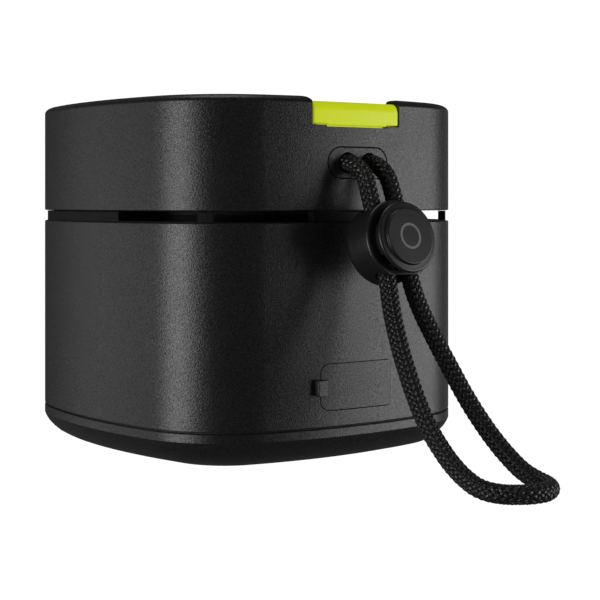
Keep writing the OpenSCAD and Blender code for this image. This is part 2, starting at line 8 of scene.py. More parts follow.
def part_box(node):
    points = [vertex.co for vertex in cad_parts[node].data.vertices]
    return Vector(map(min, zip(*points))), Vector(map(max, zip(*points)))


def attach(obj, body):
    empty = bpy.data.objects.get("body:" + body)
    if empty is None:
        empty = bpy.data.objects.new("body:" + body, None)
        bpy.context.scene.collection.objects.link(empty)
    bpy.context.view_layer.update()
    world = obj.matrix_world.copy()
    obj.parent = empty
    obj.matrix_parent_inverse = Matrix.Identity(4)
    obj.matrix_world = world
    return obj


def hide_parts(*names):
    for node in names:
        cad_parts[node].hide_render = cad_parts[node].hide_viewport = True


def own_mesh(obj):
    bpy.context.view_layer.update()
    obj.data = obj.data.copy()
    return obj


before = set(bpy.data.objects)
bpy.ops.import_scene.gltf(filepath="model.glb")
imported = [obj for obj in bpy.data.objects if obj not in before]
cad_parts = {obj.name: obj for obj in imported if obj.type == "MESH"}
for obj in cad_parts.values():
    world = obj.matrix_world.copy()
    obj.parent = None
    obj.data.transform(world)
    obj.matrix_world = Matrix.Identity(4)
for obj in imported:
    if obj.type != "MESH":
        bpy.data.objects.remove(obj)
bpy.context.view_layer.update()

MM = 0.001

# ---- Camera ----
# A level 90 mm lens behind the speaker's rear left corner, with the frame shifted
# down and to the side so that the upright edges stay parallel.
eye_height = 59.6 * MM
eye_distance = 376.7 * MM
eye_turn = math.radians(35.3)
camera_data = bpy.data.cameras.new("camera")
camera_data.lens = 90
camera_data.sensor_width = 36
camera_data.shift_x = 0.093
camera_data.shift_y = -0.166
camera = bpy.data.objects.new("camera", camera_data)
camera.location = (math.sin(eye_turn) * eye_distance, math.cos(eye_turn) * eye_distance, eye_height)
camera.rotation_euler = (math.pi / 2, 0, math.pi - eye_turn)
bpy.context.scene.collection.objects.link(camera)
bpy.context.scene.camera = camera


# ---- Lanyard cord ----
# A loop of 4 mm braided polyester cord, black. Sixteen flat yarns are braided over and
# under each other round a core; both ends are held behind the anchor plate.
cord_side = [
    (3.2, 41.2, 68.1), (3.2, 44.5, 68.1), (3.2, 47, 67.7), (3.2, 49.2, 66.6), (3.3, 51, 64.8),
    (3.4, 52.1, 62.6), (3.4, 56, 50.6), (3.4, 59.1, 41), (4, 60.7, 36.6),
    (5.2, 64.4, 29.6), (6.2, 68.4, 23.3), (6.9, 72.2, 17.8), (7.5, 76.3, 12.9),
    (7.8, 80.4, 9), (8, 84.6, 5.8), (8, 88.6, 3.6), (8, 92.2, 2.5), (6.9, 96.2, 2.05),
    (4, 99.1, 2)]
cord_tip = (0, 100.2, 2)
cord_points = cord_side + [cord_tip] + [(-x, y, z) for x, y, z in reversed(cord_side)]


def smooth_line(points, steps):
    """Points in metres along an automatic Bezier curve through points in millimetres."""
    data = bpy.data.curves.new("line", "CURVE")
    data.dimensions = "3D"
    data.resolution_u = steps
    spline = data.splines.new("BEZIER")
    spline.bezier_points.add(len(points) - 1)
    for knot, point in zip(spline.bezier_points, points):
        knot.co = Vector(point) * MM
        knot.handle_left_type = knot.handle_right_type = "AUTO"
    line = bpy.data.objects.new("line", data)
    bpy.context.scene.collection.objects.link(line)
    bpy.context.view_layer.update()
    mesh = bpy.data.meshes.new_from_object(line.evaluated_get(bpy.context.evaluated_depsgraph_get()))
    found = [v.co.copy() for v in mesh.vertices]
    bpy.data.objects.remove(line)
    return found


def even_line(points, step):
    """The same line again with its points an even step apart."""
    length = sum((b - a).length for a, b in zip(points, points[1:]))
    count = round(length / step)
    gone, index, result = 0.0, 0, []
    for k in range(count + 1):
        want = length * k / count
        while index < len(points) - 2 and gone + (points[index + 1] - points[index]).length < want:
            gone += (points[index + 1] - points[index]).length
            index += 1
        part = (points[index + 1] - points[index]).length
        result.append(points[index].lerp(points[index + 1], min(1, (want - gone) / part)))
    return result, length


def carried_frames(points):
    """A normal and a binormal at each point, carried along without twist."""
    frames, normal = [], Vector((1, 0, 0))
    for i, point in enumerate(points):
        tangent = (points[min(i + 1, len(points) - 1)] - points[max(i - 1, 0)]).normalized()
        normal = (normal - tangent * normal.dot(tangent)).normalized()
        frames.append((normal.copy(), tangent.cross(normal)))
    return frames


def new_piece(name, mesh, body):
    """Links a finished mesh as a piece that rides on a body."""
    piece = bpy.data.objects.new(name, mesh)
    bpy.context.scene.collection.objects.link(piece)
    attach(piece, body)
    return piece


def fed(node, **values):
    """Sets a node's own properties and its inputs. An output given for an input is linked."""
    for key, value in values.items():
        if isinstance(value, bpy.types.NodeSocket):
            node.id_data.links.new(value, node.inputs[key.replace("_", " ")])
        elif hasattr(node, key):
            setattr(node, key, value)
        else:
            node.inputs[key.replace("_", " ")].default_value = value
    return node


def add(tree, kind, **values):
    """A new node in the tree, fed with these values."""
    return fed(tree.nodes.new(kind), **values)


def new_material(name, color, roughness, specular=0.5):
    """A Principled material, with its shader and its node tree."""
    material = bpy.data.materials.new(name)
    material.use_nodes = True
    shader = material.node_tree.nodes["Principled BSDF"]
    fed(shader, Base_Color=(*color, 1), Roughness=roughness, Specular_IOR_Level=specular)
    return material, shader, material.node_tree


braid_yarns = 16
braid_radius = 1.72 * MM
braid_lead = 11.5 * MM
yarn_width = 0.98 * MM
yarn_height = 0.42 * MM
weave_depth = 0.13 * MM
yarn_sides = 6
yarn_step = 0.24 * MM
core_radius = 1.62 * MM
core_sides, core_step = 12, 8
cord_line, cord_length = even_line(smooth_line(cord_points, 16), yarn_step)
cord_frames = carried_frames(cord_line)


def tube(bm, rings):
    """Joins rings of vertices into a closed tube and gives its wall, ring by ring."""
    wall_faces = []
    for low, high in zip(rings, rings[1:]):
        for k in range(len(low)):
            m = (k + 1) % len(low)
            wall_faces.append(bm.faces.new((low[k], low[m], high[m], high[k])))
            wall_faces[-1].smooth = True
    bm.faces.new(list(reversed(rings[0])))
    bm.faces.new(rings[-1])
    return wall_faces


def braid_yarn(bm, uv, number):
    """One flat yarn: it winds round the cord and rides over and under those it meets."""
    way = 1 if number % 2 else -1
    start = 2 * math.pi * (number // 2) / (braid_yarns // 2)
    rings = []
    for i, (point, (normal, binormal)) in enumerate(zip(cord_line, cord_frames)):
        turned = way * 2 * math.pi * i * yarn_step / braid_lead
        angle = start + turned
        lift = way * math.cos(turned * braid_yarns / 2)
        radius = braid_radius + weave_depth * lift
        out = normal * math.cos(angle) + binormal * math.sin(angle)
        round_way = (binormal * math.cos(angle) - normal * math.sin(angle)) * way
        slope = 2 * math.pi * radius / braid_lead
        run = (normal.cross(binormal) + round_way * slope).normalized()
        across = run.cross(out).normalized()
        ring = []
        for k in range(yarn_sides):
            a = 2 * math.pi * (k + 0.5) / yarn_sides
            place = point + out * (radius + yarn_height / 2 * math.sin(a))
            ring.append(bm.verts.new(place + across * (yarn_width / 2 * math.cos(a))))
        rings.append(ring)
    for count, face in enumerate(tube(bm, rings)):
        i, k = divmod(count, yarn_sides)
        corners = ((k, i), (k + 1, i), (k + 1, i + 1), (k, i + 1))
        for loop, (u, v) in zip(face.loops, corners):
            loop[uv].uv = (u / yarn_sides, v * yarn_step / MM)


def braid_core(bm):
    """The dark core that fills the gaps between the yarns."""
    turns = [2 * math.pi * k / core_sides for k in range(core_sides)]
    tube(bm, [[bm.verts.new(point + (normal * math.cos(a) + binormal * math.sin(a)) * core_radius)
               for a in turns]
              for point, (normal, binormal) in zip(cord_line[::core_step], cord_frames[::core_step])])


cord_mesh = bpy.data.meshes.new("lanyard_braid")
bm = bmesh.new()
uv_layer = bm.loops.layers.uv.new("yarn")
braid_core(bm)
for number in range(braid_yarns):
    braid_yarn(bm, uv_layer, number)
bm.to_mesh(cord_mesh)
bm.free()
cord = new_piece("lanyard_braid", cord_mesh, "housing")
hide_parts("lanyard_cord")


cord_black, shader, tree = new_material("cord_black", (0.012, 0.012, 0.013), 0.36)
yarn_uv = add(tree, "ShaderNodeUVMap", uv_map="yarn").outputs["UV"]
fibres = add(tree, "ShaderNodeTexWave", wave_type="BANDS", bands_direction="X", Vector=yarn_uv,
             Scale=2.2, Distortion=1.2, Detail_Scale=0.6)
fibre_bump = add(tree, "ShaderNodeBump", Strength=0.5, Distance=0.06 * MM, Height=fibres.outputs["Fac"])
place = add(tree, "ShaderNodeTexCoord").outputs["Object"]
dye_noise = add(tree, "ShaderNodeTexNoise", Vector=place, Scale=1800, Detail=2)
dye = add(tree, "ShaderNodeValToRGB", Fac=dye_noise.outputs["Fac"])
dye.color_ramp.elements[0].color = (0.003, 0.003, 0.0035, 1)
dye.color_ramp.elements[1].color = (0.014, 0.014, 0.015, 1)
fed(shader, Base_Color=dye.outputs["Color"], Normal=fibre_bump.outputs["Normal"])
cord_mesh.materials.append(cord_black)


# ---- Head shell ----
# The upper storey: one ABS moulding with a fine spark-eroded grain outside. It has a
# rounded rim, a ledge for the top panel, a floor that stands on the neck, the push
# bar's notch with a sunk middle, and the pocket of the lanyard's anchor plate.
head_low, head_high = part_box("head_shell")
panel_low, panel_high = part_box("top_panel")
half_width = head_high.x / MM
corner_radius = 24
side_radius = 113
side_back = side_radius - half_width
corner_reach = side_radius - corner_radius
corner_centre = (math.sqrt(2 * corner_reach ** 2 - side_back ** 2) - side_back) / 2
side_turn = math.asin(corner_centre / corner_reach)
outline_points = 360
wall = 2.4


def node_group(name, sockets, output):
    """A Geometry Nodes tree with these (label, kind) inputs and one geometry output."""
    tree = bpy.data.node_groups.new(name, "GeometryNodeTree")
    for label, kind in sockets:
        tree.interface.new_socket(label, in_out="INPUT", socket_type="NodeSocket" + kind)
    tree.interface.new_socket(output, in_out="OUTPUT", socket_type="NodeSocketGeometry")
    return tree, add(tree, "NodeGroupInput").outputs


def group_end(tree, geometry, material):
    """Ends a tree with real geometry that wears one material."""
    real = add(tree, "GeometryNodeRealizeInstances", Geometry=geometry).outputs[0]
    finish = add(tree, "GeometryNodeSetMaterial", Geometry=real, Material=material).outputs[0]
    tree.links.new(finish, add(tree, "NodeGroupOutput").inputs[0])
    return tree


def maths_in(tree):
    """A function that adds a Math node to the tree and gives its output."""
    def maths(operation, *values):
        """The output of a Math node fed with these numbers or outputs."""
        node = add(tree, "ShaderNodeMath", operation=operation)
        for socket, value in zip(node.inputs, values):
            if isinstance(value, bpy.types.NodeSocket):
                tree.links.new(value, socket)
            else:
                socket.default_value = value
        return node.outputs[0]
    return maths


def round_housing_tree():
    """Sweeps the section it is given round the housing's outline: four bulged sides
    that run into four round corners. The section's x is its distance outwards."""
    floats = ("Side Radius", "Side Back", "Corner Radius", "Corner Centre", "Side Turn")
    tree, given = node_group("sweep_round_housing", [("Section", "Geometry")]
                             + [(label, "Float") for label in floats] + [("Finish", "Material")], "Shell")
    maths = maths_in(tree)
    index = add(tree, "GeometryNodeInputIndex").outputs[0]
    turn = maths("MULTIPLY", maths("ADD", index, 0.5), 2 * math.pi / outline_points)
    quarter = maths("MULTIPLY", maths("ROUND", maths("DIVIDE", turn, math.pi / 2)), math.pi / 2)
    off = maths("SUBTRACT", turn, quarter)
    on_corner = maths("GREATER_THAN", maths("ABSOLUTE", off), given["Side Turn"])
    diagonal = maths("ADD", quarter, maths("MULTIPLY", maths("SIGN", off), math.pi / 4))
    reach = maths("MULTIPLY", given["Corner Centre"], math.sqrt(2))

    def across(wave):
        """One coordinate of the outline: a point of a side, or of a corner past its end."""
        side = maths("SUBTRACT", maths("MULTIPLY", given["Side Radius"], maths(wave, turn)),
                     maths("MULTIPLY", given["Side Back"], maths(wave, quarter)))
        corner = maths("ADD", maths("MULTIPLY", given["Corner Radius"], maths(wave, turn)),
                       maths("MULTIPLY", reach, maths(wave, diagonal)))
        return maths("ADD", maths("MULTIPLY", side, maths("SUBTRACT", 1, on_corner)),
                     maths("MULTIPLY", corner, on_corner))

    circle = add(tree, "GeometryNodeCurvePrimitiveCircle", Resolution=outline_points).outputs["Curve"]
    spot = add(tree, "ShaderNodeCombineXYZ", X=across("COSINE"), Y=across("SINE")).outputs[0]
    outline = add(tree, "GeometryNodeSetPosition", Geometry=circle, Position=spot).outputs[0]
    level = add(tree, "GeometryNodeSetCurveNormal", mode="Z_UP", Curve=outline).outputs["Curve"]
    section = add(tree, "GeometryNodeMeshToCurve", Mesh=given["Section"]).outputs["Curve"]
    sweep = add(tree, "GeometryNodeCurveToMesh", Curve=level, Profile_Curve=section)
    return group_end(tree, sweep.outputs["Mesh"], given["Finish"])


round_housing = round_housing_tree()


def baked(obj):
    """The object's evaluated mesh, with the object itself removed."""
    bpy.context.view_layer.update()
    mesh = bpy.data.meshes.new_from_object(obj.evaluated_get(bpy.context.evaluated_depsgraph_get()))
    bpy.data.objects.remove(obj)
    return mesh


def placed(name, mesh):
    """A mesh as an object in the scene, still to be worked on."""
    obj = bpy.data.objects.new(name, mesh)
    bpy.context.scene.collection.objects.link(obj)
    return obj


def run_group(obj, group, **values):
    """The object's mesh after a node group, with its inputs set by their identifiers."""
    modifier = obj.modifiers.new("group", "NODES")
    modifier.node_group = group
    for item in group.interface.items_tree:
        if item.item_type == "SOCKET" and item.name.replace(" ", "_") in values:
            modifier[item.identifier] = values[item.name.replace(" ", "_")]
    return baked(obj)


def edited(mesh, work):
    """The mesh after work(bm) on its vertices, edges and faces."""
    bm = bmesh.new()
    bm.from_mesh(mesh)
    work(bm)
    bm.to_mesh(mesh)
    bm.free()
    return mesh


def closed_up(bm):
    """Fills what is open, merges doubles and turns every face outwards."""
    bmesh.ops.remove_doubles(bm, verts=bm.verts, dist=0.0005 * MM)
    bmesh.ops.holes_fill(bm, edges=[e for e in bm.edges if e.is_boundary], sides=0)
    bmesh.ops.recalc_face_normals(bm, faces=bm.faces)


def housing_ring(name, section, finish, closed=True):
    """A section swept round the housing: section is a list of (inset from the outline,
    height) in millimetres. An open section gives a plate, closed by its two flat faces."""
    mesh = bpy.data.meshes.new(name)
    points = [(-inset, -height, 0) for inset, height in section]
    edges = [(i, i + 1) for i in range(len(points) - 1)] + ([(len(points) - 1, 0)] if closed else [])
    mesh.from_pydata(points, edges, [])
    mesh = run_group(placed(name, mesh), round_housing, Side_Radius=side_radius, Side_Back=side_back,
                     Corner_Radius=corner_radius, Corner_Centre=corner_centre, Side_Turn=side_turn,
                     Finish=finish)
    mesh.transform(Matrix.Scale(MM, 4))
    return edited(mesh, closed_up)


def arc(x, z, across, up, start, end, steps):
    """Points on an ellipse's arc, the angles in degrees."""
    turns = [math.radians(start + (end - start) * i / steps) for i in range(steps + 1)]
    return [(x + across * math.cos(t), z + up * math.sin(t)) for t in turns]


def lofted(name, loops, joined=False):
    """A solid through loops of points in millimetres, with flat ends or joined end to end."""
    bm = bmesh.new()
    rows = [[bm.verts.new(Vector(p) * MM) for p in loop] for loop in loops]
    if joined:
        rows.append(rows[0])
    else:
        bm.faces.new(rows[0])
        bm.faces.new(rows[-1])
    for low, high in zip(rows, rows[1:]):
        for k in range(len(low)):
            m = (k + 1) % len(low)
            bm.faces.new((low[k], low[m], high[m], high[k]))
    mesh = bpy.data.meshes.new(name)
    bm.to_mesh(mesh)
    bm.free()
    return edited(mesh, closed_up)


def box_mesh(low, high):
    """A plain box, used only to cut or thicken another mesh."""
    corners = [(low[0], low[1]), (high[0], low[1]), (high[0], high[1]), (low[0], high[1])]
    return lofted("box", [[(x, y, z) for x, y in corners] for z in (low[2], high[2])])


sharp = 0.02


def rounded(x0, x1, z0, z1, radii, grow=0.0, steps=8):
    """A rectangle's outline with a radius for each corner, from the lower left round."""
    corners = ((x0, z0, 1, 1, 180), (x1, z0, -1, 1, 270), (x1, z1, -1, -1, 0), (x0, z1, 1, -1, 90))
    points = []
    for (x, z, right, up, turn), radius in zip(corners, radii):
        reach = max(radius + grow, sharp)
        points += arc(x + right * (reach - grow), z + up * (reach - grow), reach, reach, turn, turn + 90,
                      steps)
    return points


def carved(name, mesh, cuts, joined=()):
    """The mesh with some others joined on and then some cut away."""
    obj = placed(name, mesh)
    others = []
    for kind, meshes in (("UNION", joined), ("DIFFERENCE", cuts)):
        for other in meshes:
            others.append(placed("tool", other))
            modifier = obj.modifiers.new("step", "BOOLEAN")
            fed(modifier, operation=kind, solver="EXACT", object=others[-1])
    result = baked(obj)
    for other in others:
        bpy.data.objects.remove(other)
    return result


def smoothed(name, mesh, turn=35):
    """Smooth shading that follows each face by its size, with edges past turn kept sharp."""
    mesh.shade_smooth()
    mesh.set_sharp_from_angle(angle=math.radians(turn))
    obj = placed(name, mesh)
    modifier = obj.modifiers.new("normals", "WEIGHTED_NORMAL")
    modifier.keep_sharp = True
    result = baked(obj)
    result.name = name
    return result


def given_finish(mesh, *finishes):
    """The mesh with only these materials, the first one on every face."""
    mesh.materials.clear()
    for finish in finishes:
        mesh.materials.append(finish)
    for face in mesh.polygons:
        face.material_index = 0
    return mesh


def finished(name, mesh, finish, body, turn=35):
    """A piece in one material, shaded by its angles, that rides on a body."""
    return new_piece(name, smoothed(name, given_finish(mesh, finish), turn), body)


def grained(name, dark, light, roughness, grain, depth, specular=0.5, sparkle=0.0):
    """Moulded plastic or rubber: a spark-eroded grain, with the tone and the gloss of the
    surface a little uneven. grain is the width of one grain in millimetres, and sparkle is
    how much more the tops of the grains shine than the hollows."""
    material, shader, tree = new_material(name, light, roughness, specular)
    place = add(tree, "ShaderNodeTexCoord").outputs["Object"]
    grains = add(tree, "ShaderNodeTexNoise", Vector=place, Scale=1 / (grain * MM), Detail=3,
                 Roughness=0.6).outputs["Fac"]
    cloud = add(tree, "ShaderNodeTexNoise", Vector=place, Scale=140, Detail=2).outputs["Fac"]
    contrast = add(tree, "ShaderNodeMapRange", Value=grains, From_Min=0.3, From_Max=0.7).outputs["Result"]
    tone = add(tree, "ShaderNodeMix", data_type="RGBA", Factor=contrast)
    mix_a, mix_b = [s for s in tone.inputs if s.type == "RGBA"]
    mix_a.default_value = (*dark, 1)
    mix_b.default_value = (*light, 1)
    gloss = add(tree, "ShaderNodeMapRange", Value=cloud, To_Min=roughness - 0.04, To_Max=roughness + 0.05)
    bump = add(tree, "ShaderNodeBump", Strength=1.0, Distance=depth * MM, Height=grains)
    fed(shader, Base_Color=[s for s in tone.outputs if s.type == "RGBA"][0],
        Roughness=gloss.outputs["Result"], Normal=bump.outputs["Normal"])
    if sparkle:
        shine = add(tree, "ShaderNodeMapRange", Value=contrast, To_Min=specular * (1 - sparkle),
                    To_Max=specular * (1 + sparkle))
        fed(shader, Specular_IOR_Level=shine.outputs["Result"])
    return material


shell_tones = (0.005, 0.005, 0.006), (0.018, 0.018, 0.019)
shell_grain = {"grain": 0.36, "depth": 0.07, "sparkle": 0.45}
shell_black = grained("shell_black", *shell_tones, roughness=0.31, **shell_grain)
# A near-black, dull material that paints the shade of the slot under the head onto the lip and the neck.
recess_black = grained("recess_black", (0.0015, 0.0015, 0.0015), (0.004, 0.004, 0.004), roughness=0.6,
                       grain=0.36, depth=0.05, specular=0.2)

head_bottom, head_top = head_low.z / MM, head_high.z / MM
ledge_top = panel_low.z / MM
rim_width = 5
rim_depth = 1.7
head_section = (
    arc(0.35, head_bottom + 0.35, -0.35, 0.35, -90, 0, 4)
    + arc(3, head_top - rim_depth, -3, rim_depth, 0, 90, 12)
    + arc(rim_width - 0.3, head_top - 0.3, 0.3, 0.3, 90, 0, 4)
    + [(rim_width, ledge_top), (rim_width + 1.6, ledge_top), (rim_width + 1.6, ledge_top - 2),
       (wall, ledge_top - 2), (wall, head_bottom + 2), (21, head_bottom + 2), (21, head_bottom)])

# The notch in plan from the rear: upright sides that flare out into the rim
notch_half = 12.7
notch_front = 40
notch_floor = head_top - 6.5
notch_flare = 1.5
flare_z = head_top - notch_flare
notch_side = arc(notch_half + notch_flare, flare_z, -notch_flare, notch_flare, 0, 90, 8)
notch_wide = notch_half + notch_flare
notch_outline = (
    [(-x, z) for x, z in reversed(notch_side)] + [(-notch_half, notch_floor), (notch_half, notch_floor)]
    + notch_side + [(notch_wide, head_top + 2), (-notch_wide, head_top + 2)])
rim_cut_front = 38.9
sunk_half = 8.9
sunk_floor = notch_floor - 0.35
slot_front, slot_rear = 40.6, 43.4
hood_half, hood_front, hood_rear, hood_floor = 14.7, 38, 43.5, notch_floor - 5.4
anchor_z = 68.1
anchor_half = 8.65
anchor_height = 7.1
outside = half_width + 1


def along_y(outline, y0, y1):
    """A solid with this outline in X and Z, from y0 to y1."""
    return lofted("bar", [[(x, y, z) for x, z in outline] for y in (y0, y1)])


def anchor_shape(grow):
    """The anchor plate from the rear: a slot's outline, round at both ends."""
    high = anchor_height / 2
    return rounded(-anchor_half, anchor_half, anchor_z - high, anchor_z + high, [high] * 4, grow)


head_mesh = carved(
    "head_shell_moulded", housing_ring("head", head_section, shell_black), [
        along_y(notch_outline, notch_front, outside),
        along_y([(x, max(z, ledge_top)) for x, z in notch_outline], rim_cut_front, outside),
        box_mesh((-sunk_half, notch_front + 0.01, sunk_floor), (sunk_half, outside, notch_floor + 1)),
        box_mesh((-sunk_half, slot_front, notch_floor - 3), (sunk_half, slot_rear, notch_floor)),
        along_y(anchor_shape(0.15), 39, outside)],
    [box_mesh((-hood_half, hood_front, hood_floor), (hood_half, hood_rear, ledge_top - 0.1))])
head_piece = finished("head_shell_moulded", head_mesh, shell_black, "housing")
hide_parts("head_shell")


# ---- Anchor plate and cord stop ----
# A separate plug pushed into the rear of the head from inside, flush with the bulged
# face. The cord's ends pass through its two holes, whose mouths are rounded off.
hole_reach = 3.2
hole_radius = 2.2


def bent_to_rear(mesh, from_y):
    """Bends a solid drawn on a flat rear face to the housing's bulged one, from nothing
    at from_y up to the full bend at the face itself."""
    def bend(bm):
        """Cuts it into strips 1 mm wide, and moves each point back by its own share."""
        for x in range(-13, 14):
            parts = list(bm.verts) + list(bm.edges) + list(bm.faces)
            bmesh.ops.bisect_plane(bm, geom=parts, plane_co=(x * MM, 0, 0), plane_no=(1, 0, 0))
        for vert in bm.verts:
            back = math.sqrt(side_radius ** 2 - (vert.co.x / MM) ** 2) - side_radius
            share = (vert.co.y / MM - from_y) / (half_width - from_y)
            vert.co.y += back * MM * min(max(share, 0), 1)

    return edited(mesh, bend)


def turned(name, profile, steps=96, first=0.5, joined=False):
    """A solid turned about Z through (radius, height) pairs in millimetres."""
    turns = [2 * math.pi * (k + first) / steps for k in range(steps)]
    return lofted(name, [[(r * math.cos(t), r * math.sin(t), z) for t in turns] for r, z in profile], joined)


def moved(mesh, x, y, z, pitch=0.0):
    """The mesh tipped about X by pitch degrees and moved, in millimetres."""
    mesh.transform(Matrix.Translation(Vector((x, y, z)) * MM) @ Matrix.Rotation(math.radians(pitch), 4, "X"))
    return mesh


def plate(name, outline, levels):
    """A plate facing the rear: outline(grow) in X and Z, through (grow, y) levels."""
    return lofted(name, [[(x, y, z) for x, z in outline(grow)] for grow, y in levels])


anchor_face = half_width - 0.04
flange_back, flange_front = 41.2, 42
anchor_levels = [(1, flange_back), (1, flange_front), (0, flange_front + 0.01), (0, anchor_face - 0.25),
                 (-0.08, anchor_face - 0.08), (-0.25, anchor_face)]
anchor_mesh = bent_to_rear(plate("anchor", anchor_shape, anchor_levels), flange_front + 0.02)
mouth = 0.3
hole_profile = [(hole_radius, -8), (hole_radius, -0.4)]
hole_profile += arc(hole_radius + mouth, -0.35, -mouth, mouth, 0, 90, 6) + [(hole_radius + mouth, 2)]
for side in (-1, 1):
    hole = moved(turned("hole", hole_profile, 48), side * hole_reach, anchor_face, anchor_z, -90)
    anchor_mesh = carved("anchor", anchor_mesh, [hole])
anchor_piece = finished("anchor_plate_moulded", anchor_mesh, shell_black, "housing")
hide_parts("anchor_plate")


# ---- Push bar ----
# The power bar: satin plastic in fluorescent lime with a painted glow, rounded over its rear
# top edge. It lies in the rim's notch, with a deeper middle, and pushes a switch through its tongue.
bar_low, bar_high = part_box("power_bar")
bar_half = bar_high.x / MM
bar_top = bar_high.z / MM
bar_front = notch_front + 0.3
bar_rear = half_width - 0.13
bar_shoulder = notch_floor + 0.35
bar_round = 2.2
bar_edge = 0.3
bar_nose = 0.5
tongue_half, tongue_front, tongue_rear = 8.6, 40.9, 43.1


def bar_section(x, low, shrink):
    """The bar's section in Y and Z, with its bottom at low."""
    front, rear, top = bar_front + shrink, bar_rear - shrink, bar_top - shrink
    foot = low + shrink + bar_edge
    points = arc(rear - bar_round, top - bar_round, bar_round, bar_round, 90, 0, 12)
    points += arc(rear - bar_edge, foot, bar_edge, bar_edge, 0, -90, 4)
    points += arc(front + bar_edge, foot, bar_edge, bar_edge, -90, -180, 4)
    points += arc(front + bar_nose, top - bar_nose, bar_nose, bar_nose, 180, 90, 5)
    back = math.sqrt(side_radius ** 2 - x ** 2) - side_radius
    return [(x, y + back * (y - front) / (rear - front), z) for y, z in points]


def bar_stations():
    """(distance from the middle, bottom, shrink) from the middle of the bar to its end."""
    stations = [(step, notch_floor, 0) for step in (0, 2, 4, 6, 8, 8.5)]
    stations += [(step, bar_shoulder, 0) for step in (8.6, 9.5, 10.5, 11.5)]
    for turn in (0, 30, 60, 90):
        t = math.radians(turn)
        across = bar_half - bar_edge + bar_edge * math.sin(t)
        stations.append((across, bar_shoulder, bar_edge * (1 - math.cos(t))))
    return stations


stations = bar_stations()
bar_loops = [bar_section(-x, low, shrink) for x, low, shrink in reversed(stations[1:])]
bar_loops += [bar_section(x, low, shrink) for x, low, shrink in stations]
tongue = box_mesh((-tongue_half, tongue_front, bar_low.z / MM), (tongue_half, tongue_rear, notch_floor + 0.5))
bar_mesh = carved("push_bar", lofted("bar", bar_loops), [], [tongue])
lime = grained("lime", (0.74, 0.88, 0.004), (0.8, 0.93, 0.006), roughness=0.4, grain=0.3, depth=0.008,
               specular=0.35)
# Painted glow: an emission that lifts the lime brighter than the lamps light it, in shade as well.
fed(lime.node_tree.nodes["Principled BSDF"], Emission_Color=(0.8, 0.94, 0.004, 1), Emission_Strength=0.33)
bar_piece = finished("push_bar_moulded", bar_mesh, lime, "power_bar")
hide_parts("power_bar")


# ---- Top panel ----
# A flat matt plate glued on the head's ledge. It has the grille's seat, three openings
# for the keys, a pinhole for the status light and a step back round the push bar.
panel_bottom, panel_top = panel_low.z / MM, panel_high.z / MM
key_low, key_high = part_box("volume_up_key")
key_top = key_high.z / MM
key_bottom = key_low.z / MM
key_skirt = 0.8
key_radius = (key_high.x - key_low.x) / MM / 2 - key_skirt
key_reach = key_high.x / MM - key_skirt - key_radius
play_low, play_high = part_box("play_key")
play_y = (play_low.y + play_high.y) / MM / 2
play_half, play_deep = 7, 2.4
lens_low, lens_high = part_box("status_lens")
lens_radius = (lens_high.x - lens_low.x) / MM / 2
lens_x = (lens_low.x + lens_high.x) / MM / 2
grille_low, grille_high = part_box("grille")
grille_radius = grille_high.x / MM
grille_seat = grille_low.z / MM
seat_gap = 0.15
panel_black = grained("panel_black", (0.009, 0.009, 0.010), (0.016, 0.016, 0.017), roughness=0.5,
                      grain=0.3, depth=0.02)


def upright(outline, levels, name="plate"):
    """A plate facing up: outline(grow) in X and Y, through (grow, z) levels."""
    return lofted(name, [[(x, y, z) for x, y in outline(grow)] for grow, z in levels])


def key_hole(x, y, radius):
    """A round hole through the panel, its upper edge broken."""
    wide = radius + 0.25
    profile = [(radius, panel_bottom - 1), (radius, panel_top - 0.25)]
    profile += [(wide, panel_top), (wide, panel_top + 1)]
    return moved(turned("hole", profile, 64), x, y, 0)


def play_shape(grow):
    """The long key from above, round at both ends."""
    return rounded(-play_half, play_half, play_y - play_deep, play_y + play_deep, [play_deep] * 4, grow)


panel_inner = 22.5
panel_section = [(panel_inner, panel_bottom), (rim_width + seat_gap, panel_bottom),
                 (rim_width + seat_gap, panel_top - 0.25), (rim_width + 0.4, panel_top),
                 (panel_inner, panel_top)]
step_half = notch_half + 0.5
seat_profile = [(grille_radius - 2, panel_bottom - 1), (grille_radius - 2, grille_seat),
                (grille_radius + seat_gap, grille_seat), (grille_radius + seat_gap, panel_top + 1)]
play_hole_levels = [(0.3, panel_bottom - 1), (0.3, panel_top - 0.2), (0.5, panel_top), (0.5, panel_top + 1)]
panel_mesh = carved("panel", housing_ring("panel", panel_section, panel_black), [
    box_mesh((-step_half, notch_front - 0.6, panel_bottom - 1), (step_half, half_width, panel_top + 1)),
    turned("seat", seat_profile),
    key_hole(-key_reach, -key_reach, key_radius + 0.3),
    key_hole(key_reach, -key_reach, key_radius + 0.3),
    upright(play_shape, play_hole_levels),
    key_hole(lens_x, play_y, lens_radius + 0.05)])
panel_piece = finished("top_panel_moulded", panel_mesh, panel_black, "housing")
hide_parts("top_panel")


# ---- Grille ----
# Punched steel sheet with a black powder coat and a rolled rim, pressed into its seat.
# The round holes stand in hexagonal rows; each tile below is one hole and its metal.
hole_pitch = 1.9
tile_hole = 0.64
sheet_low, sheet_high = grille_seat + 0.15, grille_high.z / MM - 0.15


